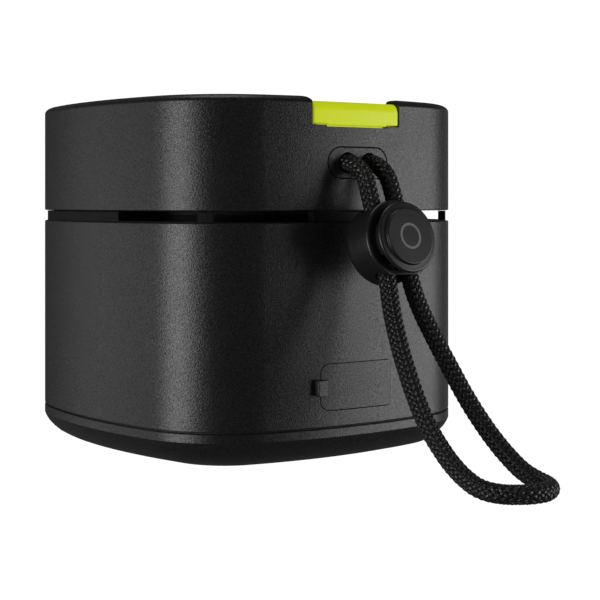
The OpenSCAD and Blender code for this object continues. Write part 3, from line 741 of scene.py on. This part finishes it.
def perforated_tree():
    """Repeats the tile it is given over hexagonal rows inside a circle."""
    tree, given = node_group("perforated_sheet", [
        ("Tile", "Geometry"), ("Pitch", "Float"), ("Row Pitch", "Float"), ("Reach", "Float"),
        ("Rows", "Int"), ("Finish", "Material")], "Sheet")
    maths = maths_in(tree)
    index = add(tree, "GeometryNodeInputIndex").outputs[0]
    row = maths("FLOOR", maths("DIVIDE", maths("ADD", index, 0.5), given["Rows"]))
    column = maths("SUBTRACT", index, maths("MULTIPLY", row, given["Rows"]))
    middle = maths("DIVIDE", maths("SUBTRACT", given["Rows"], 1), 2)
    across = maths("ADD", maths("SUBTRACT", column, middle), maths("MULTIPLY", maths("MODULO", row, 2), 0.5))
    spot = add(tree, "ShaderNodeCombineXYZ", X=maths("MULTIPLY", across, given["Pitch"]),
               Y=maths("MULTIPLY", maths("SUBTRACT", row, middle), given["Row Pitch"])).outputs[0]
    count = maths("MULTIPLY", given["Rows"], given["Rows"])
    spots = add(tree, "GeometryNodePoints", Count=count, Position=spot).outputs[0]
    here = add(tree, "GeometryNodeInputPosition").outputs[0]
    length = add(tree, "ShaderNodeVectorMath", operation="LENGTH", Vector=here).outputs["Value"]
    outside_reach = maths("GREATER_THAN", length, given["Reach"])
    kept = add(tree, "GeometryNodeDeleteGeometry", domain="POINT", Geometry=spots, Selection=outside_reach)
    copies = add(tree, "GeometryNodeInstanceOnPoints", Points=kept.outputs[0], Instance=given["Tile"])
    return group_end(tree, copies.outputs[0], given["Finish"])


def grille_tile():
    """One hexagon of the sheet round one hole, 12 points round, with all its walls."""
    corner = hole_pitch / math.sqrt(3)
    flare = 1.08
    rim, bore = [], []
    for k in range(12):
        t = math.radians(30 * k + 30)
        reach = corner if k % 2 == 0 else hole_pitch / 2
        rim.append((reach * math.cos(t), reach * math.sin(t)))
        bore.append((tile_hole * math.cos(t), tile_hole * math.sin(t)))
    wide = [(x * flare, y * flare) for x, y in bore]
    loops = [(rim, sheet_low), (rim, sheet_high), (wide, sheet_high), (bore, sheet_high - 0.06),
             (bore, sheet_low)]
    return lofted("tile", [[(x, y, z) for x, y in loop] for loop, z in loops], joined=True)


def without_inner_walls(bm):
    """Merges neighbouring tiles and drops the walls that two of them share."""
    bmesh.ops.remove_doubles(bm, verts=bm.verts, dist=0.002 * MM)
    seen = {}
    for face in bm.faces:
        seen.setdefault(frozenset(v.index for v in face.verts), []).append(face)
    shared = [face for faces in seen.values() if len(faces) > 1 for face in faces]
    bmesh.ops.delete(bm, geom=shared, context="FACES")


grille_black = grained("grille_black", (0.008, 0.008, 0.009), (0.015, 0.015, 0.016), roughness=0.4,
                       grain=0.22, depth=0.012)
sheet_mesh = run_group(
    placed("grille_sheet", grille_tile()), perforated_tree(), Pitch=hole_pitch * MM,
    Row_Pitch=hole_pitch * MM * math.sqrt(3) / 2, Reach=(grille_radius - 2.2) * MM, Rows=35,
    Finish=grille_black)
new_piece("grille_sheet", smoothed("grille_sheet", edited(sheet_mesh, without_inner_walls), 30),
          "housing")
grille_top = grille_high.z / MM
rim_loops = ([(grille_radius - 2.6, grille_seat), (grille_radius, grille_seat)]
             + arc(grille_radius - 0.5, grille_top - 0.5, 0.5, 0.5, 0, 90, 5)
             + arc(grille_radius - 2.2, grille_top - 0.4, 0.4, 0.4, 90, 180, 4))


def turned_ring(name, section, steps=128):
    """A ring turned about Z with a closed section of (radius, height) pairs."""
    return turned(name, section, steps, first=0, joined=True)


rim_mesh = turned_ring("rim", rim_loops)
grille_rim = finished("grille_rim", rim_mesh, grille_black, "housing")
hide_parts("grille")


# ---- Keys and status light ----
# Soft-touch keys that stand a little proud of the panel, each with a skirt under it and
# a plain raised mark: minus, play and plus. A light pipe beside the play key shows power.
key_black = grained("key_black", (0.012, 0.012, 0.013), (0.02, 0.02, 0.021), roughness=0.56,
                    grain=0.25, depth=0.015)
mark_grey = grained("mark_grey", (0.22, 0.22, 0.22), (0.3, 0.3, 0.3), roughness=0.5, grain=0.25, depth=0.01)
key_edge = 0.4
mark_levels = [(0, key_top - 0.2), (0, key_top + 0.06)]
mark_long, mark_wide = 1.3, 0.22


def round_key_mesh(x):
    """A round key, dished a little on top."""
    wide = key_radius + key_skirt
    profile = [(wide, key_bottom), (wide, key_bottom + 1), (key_radius, key_bottom + 1)]
    profile += arc(key_radius - key_edge, key_top - key_edge, key_edge, key_edge, 0, 90, 6)
    profile += [(2.6, key_top - 0.06), (1.2, key_top - 0.08), (0.05, key_top - 0.09)]
    return moved(turned("key", profile, 72), x, -key_reach, 0)


def bar_mark(x, half_x, half_y):
    """A raised bar with round ends on a round key."""
    outline = rounded(x - half_x, x + half_x, -key_reach - half_y, -key_reach + half_y, [mark_wide] * 4)
    return upright(lambda grow: outline, mark_levels)


def play_mark():
    """A triangle that points right, its corners rounded."""
    points = []
    for turn in (0, 120, 240):
        t = math.radians(turn)
        points += arc(math.cos(t), play_y + math.sin(t), 0.25, 0.25, turn - 60, turn + 60, 5)
    return upright(lambda grow: points, mark_levels)


play_levels = [(0.6, key_bottom), (0.6, key_bottom + 1), (0, key_bottom + 1.01)]
play_levels += [(-key_edge + x, key_top - key_edge + z) for x, z in arc(0, 0, key_edge, key_edge, 0, 90, 6)]
play_levels += [(-1.2, key_top - 0.06)]
plus_mark = carved("plus", bar_mark(key_reach, mark_long, mark_wide), [],
                   [bar_mark(key_reach, mark_wide, mark_long)])
keys = (("volume_down_key", round_key_mesh(-key_reach), bar_mark(-key_reach, mark_long, mark_wide)),
        ("play_key", upright(play_shape, play_levels), play_mark()),
        ("volume_up_key", round_key_mesh(key_reach), plus_mark))
for key_name, key_mesh, mark_mesh in keys:
    key_piece = finished(key_name + "_cap", key_mesh, key_black, key_name)
    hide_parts(key_name)
    finished(key_name.replace("_key", "_mark"), mark_mesh, mark_grey, key_name)

lens_white, shader, tree = new_material("lens_white", (0.75, 0.78, 0.8), 0.25)
place = add(tree, "ShaderNodeTexCoord").outputs["Object"]
lens_noise = add(tree, "ShaderNodeTexNoise", Vector=place, Scale=2500).outputs["Fac"]
lens_bump = add(tree, "ShaderNodeBump", Strength=0.3, Distance=0.01 * MM, Height=lens_noise)
fed(shader, Subsurface_Weight=0.4, Subsurface_Radius=(MM, MM, MM), Normal=lens_bump.outputs["Normal"])
lens_edge = panel_top - 0.15
lens_profile = [(lens_radius, lens_low.z / MM), (lens_radius, lens_edge)]
lens_profile += arc(0, lens_edge, lens_radius, 0.15, 0, 88, 6)
lens_mesh = moved(turned("lens", lens_profile, 32), lens_x, play_y, 0)
lens_piece = finished("status_lens_pipe", lens_mesh, lens_white, "housing")
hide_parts("status_lens")


# ---- Cord lock ----
# A spring-loaded button lock in satin acetal: a barrel with a tunnel for both strands,
# and a plunger with the same tunnel, whose cap has a rim and a face with a plain ring.
lock_at = (0, 56.1, 50.3)
lock_pitch = -76
strand_turn = 94
strand_reach = 3.4
barrel_radius = 9
barrel_back, barrel_front = -5.4, 2.9
barrel_bore = 6.88
bore_floor = -4.4
tunnel_radius = 2.35
stem_low, stem_radius = -3.1, 6.8
cap_low, cap_rim, cap_face = 4.8, 7.95, 6.3
slot_half, slot_low, slot_high = 5.9, -2.6, 3.8
lock_black = grained("lock_black", (0.010, 0.010, 0.011), (0.014, 0.014, 0.015), roughness=0.36,
                     grain=0.5, depth=0.005)

barrel_round, barrel_lip = 1.6, 0.7
barrel_profile = [(0.05, barrel_back)]
barrel_profile += arc(barrel_radius - barrel_round, barrel_back + barrel_round, barrel_round, barrel_round,
                      -90, 0, 10)
barrel_profile += arc(barrel_radius - barrel_lip, barrel_front - barrel_lip, barrel_lip, barrel_lip, 0, 90, 8)
barrel_profile += arc(barrel_bore + 0.3, barrel_front - 0.3, -0.3, 0.3, 90, 0, 4)
barrel_profile += [(barrel_bore, bore_floor), (0.05, bore_floor)]


def tunnel(half_width_x, half_height, turn):
    """A long round-ended bar through the lock, for the strands to pass."""
    outline = rounded(-half_width_x, half_width_x, -half_height, half_height, [half_height] * 4, 0, 12)
    mesh = lofted("tunnel", [[(x, y, z) for x, y in outline] for z in (-20, 20)])
    mesh.transform(Matrix.Rotation(math.radians(turn), 4, "X"))
    return mesh


barrel_mesh = carved("barrel", turned("barrel", barrel_profile, 128),
                     [tunnel(strand_reach + tunnel_radius, tunnel_radius, strand_turn)])
barrel_mesh = moved(barrel_mesh, *lock_at, lock_pitch)
barrel_piece = finished("cord_lock_barrel_moulded", barrel_mesh, lock_black, "cord_lock")
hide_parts("cord_lock_barrel")

cap_round = 0.55
face_z = cap_low + 1.9
cap_profile = [(0.05, stem_low), (stem_radius, stem_low), (stem_radius, cap_low)]
cap_profile += arc(cap_rim - cap_round, cap_low + cap_round, cap_round, cap_round, -90, 90, 14)
cap_profile += arc(cap_face + 0.25, cap_low + 1.35, -0.25, 0.25, -90, 0, 4)
cap_profile += arc(cap_face - 0.3, cap_low + 1.6, 0.3, 0.3, 0, 90, 6) + [(0.05, face_z)]
slot_mesh = box_mesh((-slot_half, -stem_radius - 1, slot_low), (slot_half, stem_radius + 1, slot_high))
plunger_mesh = carved("plunger", turned("plunger", cap_profile, 128), [slot_mesh])
plunger_mesh = moved(plunger_mesh, *lock_at, lock_pitch)
plunger_piece = finished("cord_lock_button", plunger_mesh, lock_black, "cord_lock_plunger")
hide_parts("cord_lock_plunger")
ring_in, ring_out = 2.35, 2.9
ring_section = [(ring_in, face_z - 0.05), (ring_out, face_z - 0.05), (ring_out, face_z + 0.015),
                (ring_in, face_z + 0.015)]
ring_mesh = moved(turned_ring("ring", ring_section, 72), *lock_at, lock_pitch)
finished("cord_lock_ring", ring_mesh, mark_grey, "cord_lock_plunger")


# ---- Body shell ----
# The lower storey, moulded like the head: a deck on top with the neck that carries the
# head, a lip with openings beside each rear corner post, and the port cover's pocket.
slot_height = 2.5
deck = head_bottom - slot_height
body_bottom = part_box("seam_seal")[1].z / MM
body_section = (
    arc(0.25, body_bottom + 0.25, -0.25, 0.25, -90, 0, 3) + arc(0.35, deck - 0.35, -0.35, 0.35, 0, 90, 4)
    + [(21, deck), (21, deck - 2.5), (wall, deck - 2.5), (wall, body_bottom)])
lip_top = head_bottom - 0.12
lip_out, lip_in = 0.7, 2.7
lip_section = [(lip_out, deck - 0.2), (lip_out, lip_top - 0.1), (lip_out + 0.1, lip_top),
               (lip_in - 0.1, lip_top), (lip_in, lip_top - 0.1), (lip_in, deck - 0.2)]
lip_post = math.radians(45 + 4.3)
post_x = corner_centre + (corner_radius - lip_out) * math.cos(lip_post)
window_from, window_front = 12, 28.1
neck_in, neck_out = 19, 31
neck_section = [(neck_in, deck - 0.5), (neck_out, deck - 0.5), (neck_out, deck + 1.5), (neck_in, deck + 1.5)]


def lip_windows():
    """Boxes that open the rear lip and the rear halves of the side lips."""
    low, high = (window_from, window_front), (post_x, outside)
    found = []
    for side in (-1, 1):
        for near, far in ((low, high), (low[::-1], high[::-1])):
            xs = sorted((side * near[0], side * far[0]))
            found.append(box_mesh((xs[0], near[1], deck + 0.2), (xs[1], far[1], head_bottom + 1)))
    return found


cover_z = 17.8
cover_half = 5.2
hinge_x = -9.8
cover_end = 10.6
cover_round = 2.3
cover_floor = 43.3
cover_gap = 0.15
hinge_fade = 1.4

pocket_round = cover_round + cover_gap
pocket_x = cover_end - cover_round
pocket_low, pocket_high = cover_z - cover_half, cover_z + cover_half
pocket_outline = [(hinge_x, pocket_low), (hinge_x + hinge_fade, pocket_low - cover_gap)]
pocket_outline += arc(pocket_x, pocket_low + cover_round, pocket_round, pocket_round, -90, 0, 10)
pocket_outline += arc(pocket_x, pocket_high - cover_round, pocket_round, pocket_round, 0, 90, 10)
pocket_outline += [(hinge_x + hinge_fade, pocket_high + cover_gap), (hinge_x, pocket_high)]
bay_in = 1.2
lip_mesh = carved("lip", housing_ring("lip", lip_section, shell_black), lip_windows())
body_mesh = carved(
    "body", housing_ring("body", body_section, shell_black), [
        along_y(pocket_outline, cover_floor, outside),
        box_mesh((hinge_x + bay_in, half_width - 8, pocket_low + bay_in),
                 (cover_end - bay_in, outside, pocket_high - bay_in))],
    [lip_mesh, turned_ring("neck", neck_section)])
body_mesh = given_finish(body_mesh, shell_black, recess_black)
# The faces above the deck, the lip and the neck, get the painted shade material, darker than the shell.
for face in body_mesh.polygons:
    if face.center.z > (deck + 0.02) * MM:
        face.material_index = 1
body_mesh = smoothed("body_shell_moulded", body_mesh)
body_piece = new_piece("body_shell_moulded", body_mesh, "housing")
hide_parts("body_shell")


# ---- Port cover ----
# Black rubber that lies flush in its pocket and bends open at its end away from the
# pull tab. The tab stands proud on a stem and reaches over the shell for a fingernail.
cover_rubber = grained("cover_rubber", *shell_tones, roughness=0.34, **shell_grain)


def cover_outline(grow):
    """The cover from the rear, with nothing past its hinge."""
    radii = (sharp, cover_round, cover_round, sharp)
    points = rounded(hinge_x, cover_end, pocket_low, pocket_high, radii, grow, 10)
    return [(max(x, hinge_x), z) for x, z in points]


tab_root = math.sqrt(side_radius ** 2 - cover_end ** 2) - side_back
tab_left, tab_right, tab_half, tab_face = 9.05, 12.3, 1.8, 45.9
tab_edge = 0.3
stem_right = cover_end - 0.2


def tab_plan(grow):
    """The tab from above: a stem out of the cover, a slope beside it and the free end."""
    under = tab_root + 0.15 - grow
    points = [(tab_left - grow, tab_root - 0.3), (stem_right, tab_root - 0.3), (stem_right, under)]
    points += [(tab_right + grow, under)]
    points += arc(tab_right - tab_edge, tab_face - tab_edge, tab_edge + grow, tab_edge + grow, 0, 90, 5)
    return points + [(tab_left + 0.6, tab_face + grow), (tab_left - grow, tab_root + 0.5)]


cover_mesh = bent_to_rear(plate("cover", cover_outline, [
    (-0.1, cover_floor + 0.1), (0, cover_floor + 0.2), (0, half_width - 0.1), (-0.03, half_width - 0.03),
    (-0.1, half_width)]), cover_floor + 0.1)
tab_low, tab_high = cover_z - tab_half, cover_z + tab_half
tab_levels = [(-0.2, tab_low), (-0.06, tab_low + 0.06), (0, tab_low + 0.2)]
tab_levels += [(grow, tab_low + tab_high - z) for grow, z in reversed(tab_levels)]
cover_mesh = carved("cover", cover_mesh, [], [upright(tab_plan, tab_levels)])
cover_piece = finished("port_cover_flap", cover_mesh, cover_rubber, "port_cover")
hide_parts("port_cover")


# ---- Ports ----
# Behind the cover: a USB-C socket, a drawn steel tube round a black tongue with gilt
# contacts, and a 3.5 mm jack with a steel collar, both in a black bay behind the wall.
usb_low, usb_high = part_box("usb_port")
usb_x = (usb_low.x + usb_high.x) / MM / 2
usb_half, usb_deep = 4.5, 1.6
usb_mouth = usb_high.y / MM
usb_back = usb_low.y / MM
tongue_x, tongue_z, tongue_back = 3.3, 0.35, usb_mouth - 6.2
pin_size = (0.25 * MM, 3.4 * MM, 0.04 * MM, 1)
pins, pin_pitch = 12, 0.5
jack_x = -4.6
jack_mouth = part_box("aux_jack")[1].y / MM


def metal(name, color, roughness, streak):
    """Bare metal, drawn or plated: fine streaks along X in its gloss and its surface."""
    material, shader, tree = new_material(name, color, roughness)
    place = add(tree, "ShaderNodeTexCoord").outputs["Object"]
    stretch = add(tree, "ShaderNodeMapping", Vector=place, Scale=(300, streak, streak)).outputs[0]
    lines = add(tree, "ShaderNodeTexNoise", Vector=stretch, Scale=1, Detail=3).outputs["Fac"]
    gloss = add(tree, "ShaderNodeMapRange", Value=lines, To_Min=roughness - 0.08, To_Max=roughness + 0.12)
    bump = add(tree, "ShaderNodeBump", Strength=0.4, Distance=0.01 * MM, Height=lines)
    fed(shader, Metallic=1, Roughness=gloss.outputs["Result"], Normal=bump.outputs["Normal"])
    return material


steel = metal("steel", (0.55, 0.55, 0.56), roughness=0.32, streak=4000)
gilt = metal("gilt", (0.75, 0.55, 0.22), roughness=0.3, streak=3000)


def usb_shape(grow):
    """The socket from the rear: wide, low and round at its ends."""
    return rounded(usb_x - usb_half, usb_x + usb_half, cover_z - usb_deep, cover_z + usb_deep,
                   [1.3] * 4, grow, 6)


usb_levels = [(0, usb_back), (0, usb_mouth), (-0.08, usb_mouth), (-0.3, usb_mouth - 0.1),
              (-0.3, usb_mouth - 6), (-1.5, usb_mouth - 6.01)]
usb_mesh = plate("usb", usb_shape, usb_levels)
usb_piece = finished("usb_socket_shell", usb_mesh, steel, "housing")
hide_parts("usb_port")
tongue_outline = rounded(usb_x - tongue_x, usb_x + tongue_x, cover_z - tongue_z, cover_z + tongue_z,
                         [0.15] * 4)
tongue_mesh = along_y(tongue_outline, tongue_back, usb_mouth - 1)
finished("usb_tongue", tongue_mesh, panel_black, "housing")
contacts = bmesh.new()
for pin in range(pins):
    for up in (-1, 1):
        spot = Vector((usb_x + (pin - (pins - 1) / 2) * pin_pitch, usb_mouth - 3,
                       cover_z + up * (tongue_z + 0.01))) * MM
        bmesh.ops.create_cube(contacts, size=1,
                              matrix=Matrix.Translation(spot) @ Matrix.Diagonal(pin_size))
contact_mesh = bpy.data.meshes.new("usb_contacts")
contacts.to_mesh(contact_mesh)
contacts.free()
new_piece("usb_contacts", given_finish(contact_mesh, gilt), "housing")
collar_section = [(1.8, -0.5), (2.6, -0.5), (2.6, 0.02), (2.5, 0.12), (1.95, 0.12), (1.8, 0)]
collar = turned_ring("collar", collar_section, 64)
finished("aux_collar", moved(collar, jack_x, jack_mouth, cover_z, -90), steel, "housing")


def dressed(material, *nodes):
    """Gives CAD nodes their finish."""
    for name in nodes:
        given_finish(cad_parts[name].data, material)


dressed(panel_black, "aux_jack", "port_bay")


# ---- Base tray, foot pad and seals ----
# The tray is moulded like the shells and curves in to a ribbed rubber pad under it. A
# black seal closes the seam above it, and another lies between the neck and the head.
tray_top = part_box("base_tray")[1].z / MM
tray_edge = tray_top - 2
tray_stand = 0.8
tray_curve = [(0, tray_edge), (0.35, 5.75), (1, 4.7), (2.2, 3.4), (3.6, 2.25), (5.2, 1.35), (6.8, 0.9),
              (8.2, tray_stand)]
pad_inset, pad_top = 10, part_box("foot_pad")[1].z / MM
tray_section = [(wall, tray_top), (0.2, tray_top), (0.06, tray_top - 0.06), (0, tray_top - 0.2)]
tray_section += tray_curve + [(pad_inset - 0.15, tray_stand), (pad_inset - 0.15, pad_top), (21, pad_top)]
tray_section += [(21, 3), (7.8, 3), (7.8, 4.6), (5.8, 4.6), (5.8, tray_edge), (wall, tray_edge)]
tray_mesh = housing_ring("tray", tray_section, shell_black)
tray_piece = finished("base_tray_moulded", tray_mesh, shell_black, "housing", turn=20)
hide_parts("base_tray")

rubber_black = grained("rubber_black", (0.010, 0.010, 0.010), (0.018, 0.018, 0.018), roughness=0.62,
                       grain=0.2, depth=0.015)
pad_inner = 14
pad_section = [(pad_inner, 0), (pad_inset + 0.4, 0), (pad_inset + 0.12, 0.12), (pad_inset, 0.4),
               (pad_inset, pad_top), (pad_inner, pad_top)]
groove_count, groove_pitch, groove_half, groove_length = 6, 8, 0.7, 22
groove_top = 0.5
grooves = []
for step in range(groove_count):
    groove_y = -20 + groove_pitch * step
    shape = rounded(-groove_length, groove_length, groove_y - groove_half, groove_y + groove_half,
                    [groove_half] * 4, 0, 6)
    grooves.append(upright(lambda grow, shape=shape: shape, [(0, -1), (0, groove_top)]))
pad_mesh = carved("pad", housing_ring("pad", pad_section, rubber_black, closed=False), grooves)
pad_piece = finished("foot_pad_rubber", pad_mesh, rubber_black, "housing")
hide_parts("foot_pad")
dressed(rubber_black, "seam_seal", "neck_gasket", "driver_gasket", "driver_surround")
dressed(lock_black, "cord_stop")


# ---- Speaker driver ----
# Below the grille: a pressed steel basket, a black paper cone and cap on a rubber
# surround and a cloth spider, and the coil, plates and ferrite magnet that move them.
basket_steel = grained("basket_steel", (0.03, 0.03, 0.032), (0.05, 0.05, 0.052), roughness=0.38,
                       grain=0.3, depth=0.008)
ferrite = grained("ferrite", (0.035, 0.034, 0.036), (0.075, 0.073, 0.078), roughness=0.7,
                  grain=0.6, depth=0.05)
cone_paper = grained("cone_paper", (0.012, 0.012, 0.013), (0.034, 0.034, 0.036), roughness=0.85,
                     grain=0.9, depth=0.06)
spider_cloth = grained("spider_cloth", (0.30, 0.16, 0.05), (0.48, 0.29, 0.10), roughness=0.8,
                       grain=0.4, depth=0.05)
copper = metal("copper", (0.72, 0.34, 0.16), roughness=0.3, streak=6000)
dressed(basket_steel, "driver_basket")
dressed(ferrite, "driver_magnet")
dressed(cone_paper, "driver_cone", "dust_cap")
dressed(spider_cloth, "driver_spider")
dressed(copper, "voice_coil")
dressed(steel, "driver_top_plate", "driver_yoke")


# ---- Boards, cells, leads and fasteners ----
# The main board stands behind the ports with the radio module; two sleeved cells lie
# crossways in a moulded cradle; small boards carry the switches; steel screws hold all.
board_green = grained("board_green", (0.006, 0.05, 0.016), (0.012, 0.085, 0.03), roughness=0.3,
                      grain=1.6, depth=0.01)
cell_wrap = grained("cell_wrap", (0.015, 0.09, 0.32), (0.03, 0.13, 0.42), roughness=0.28,
                    grain=1.2, depth=0.01)
cradle_grey = grained("cradle_grey", (0.15, 0.15, 0.16), (0.22, 0.22, 0.23), roughness=0.5,
                      grain=0.5, depth=0.02)
lead_red = grained("lead_red", (0.32, 0.012, 0.012), (0.42, 0.02, 0.018), roughness=0.4,
                   grain=0.5, depth=0.01)
dressed(board_green, "main_board", "key_board", "switch_board")
dressed(cell_wrap, "battery_cells")
dressed(cradle_grey, "battery_cradle")
dressed(lead_red, "battery_lead", "driver_lead")
dressed(steel, "radio_module", "key_switches", "power_switch")
dressed(steel, "base_screws", "head_screws", "cord_lock_spring")
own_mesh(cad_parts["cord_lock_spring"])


# ---- Lights ----
# Four upright softboxes, two each side, leave the near corner dark; a weak one overhead
# lifts the top, and the surroundings are white to the camera but dim to the speaker.
def softbox(name, turn, wide, tall, power, height=-0.02, distance=1.0):
    """A softbox at a turn in degrees from +Y towards +X, aimed at the speaker."""
    data = bpy.data.lights.new(name, "AREA")
    data.shape = "RECTANGLE"
    data.size, data.size_y = wide, tall
    data.energy = power
    light = bpy.data.objects.new(name, data)
    t = math.radians(turn)
    light.location = (math.sin(t) * distance, math.cos(t) * distance, height)
    aim = Vector((0, 0, 0.04)) - light.location
    light.rotation_euler = aim.to_track_quat("-Z", "Y").to_euler()
    bpy.context.scene.collection.objects.link(light)


softbox("right_softbox", turn=-51, wide=0.9, tall=0.55, power=4.4)
softbox("right_fill", turn=-120, wide=0.7, tall=0.55, power=0.12)
softbox("left_softbox", turn=85, wide=0.45, tall=0.55, power=4.6)
softbox("left_fill", turn=134, wide=0.8, tall=0.55, power=1.0)
softbox("top_softbox", turn=200, wide=0.6, tall=0.6, power=2, height=1.2, distance=0.3)

world = bpy.data.worlds.new("surroundings")
bpy.context.scene.world = world
world.use_nodes = True
seen = add(world.node_tree, "ShaderNodeLightPath").outputs["Is Camera Ray"]
seen_white, dim = 1.05, 0.075
strength = add(world.node_tree, "ShaderNodeMapRange", Value=seen, To_Min=dim, To_Max=seen_white)
fed(world.node_tree.nodes["Background"], Color=(1, 1, 1, 1), Strength=strength.outputs["Result"])
bpy.context.scene.view_settings.view_transform = "Standard"


# ---- Floor ----
# A plain pale floor. The camera sees it white, and all other light passes through it, so
# that it neither shades the speaker's underside nor lights it.
bpy.ops.mesh.primitive_plane_add(size=6)
floor = bpy.context.object
floor.name = "floor"
floor_pale, shader, tree = new_material("floor_pale", (1, 1, 1), 1)
tree.nodes.remove(shader)
camera_sees = add(tree, "ShaderNodeLightPath").outputs["Is Camera Ray"]
choice = add(tree, "ShaderNodeMixShader", Fac=camera_sees)
tree.links.new(add(tree, "ShaderNodeBsdfTransparent").outputs[0], choice.inputs[1])
tree.links.new(add(tree, "ShaderNodeEmission", Strength=seen_white).outputs[0], choice.inputs[2])
fed(tree.nodes["Material Output"], Surface=choice.outputs[0])
floor.data.materials.append(floor_pale)
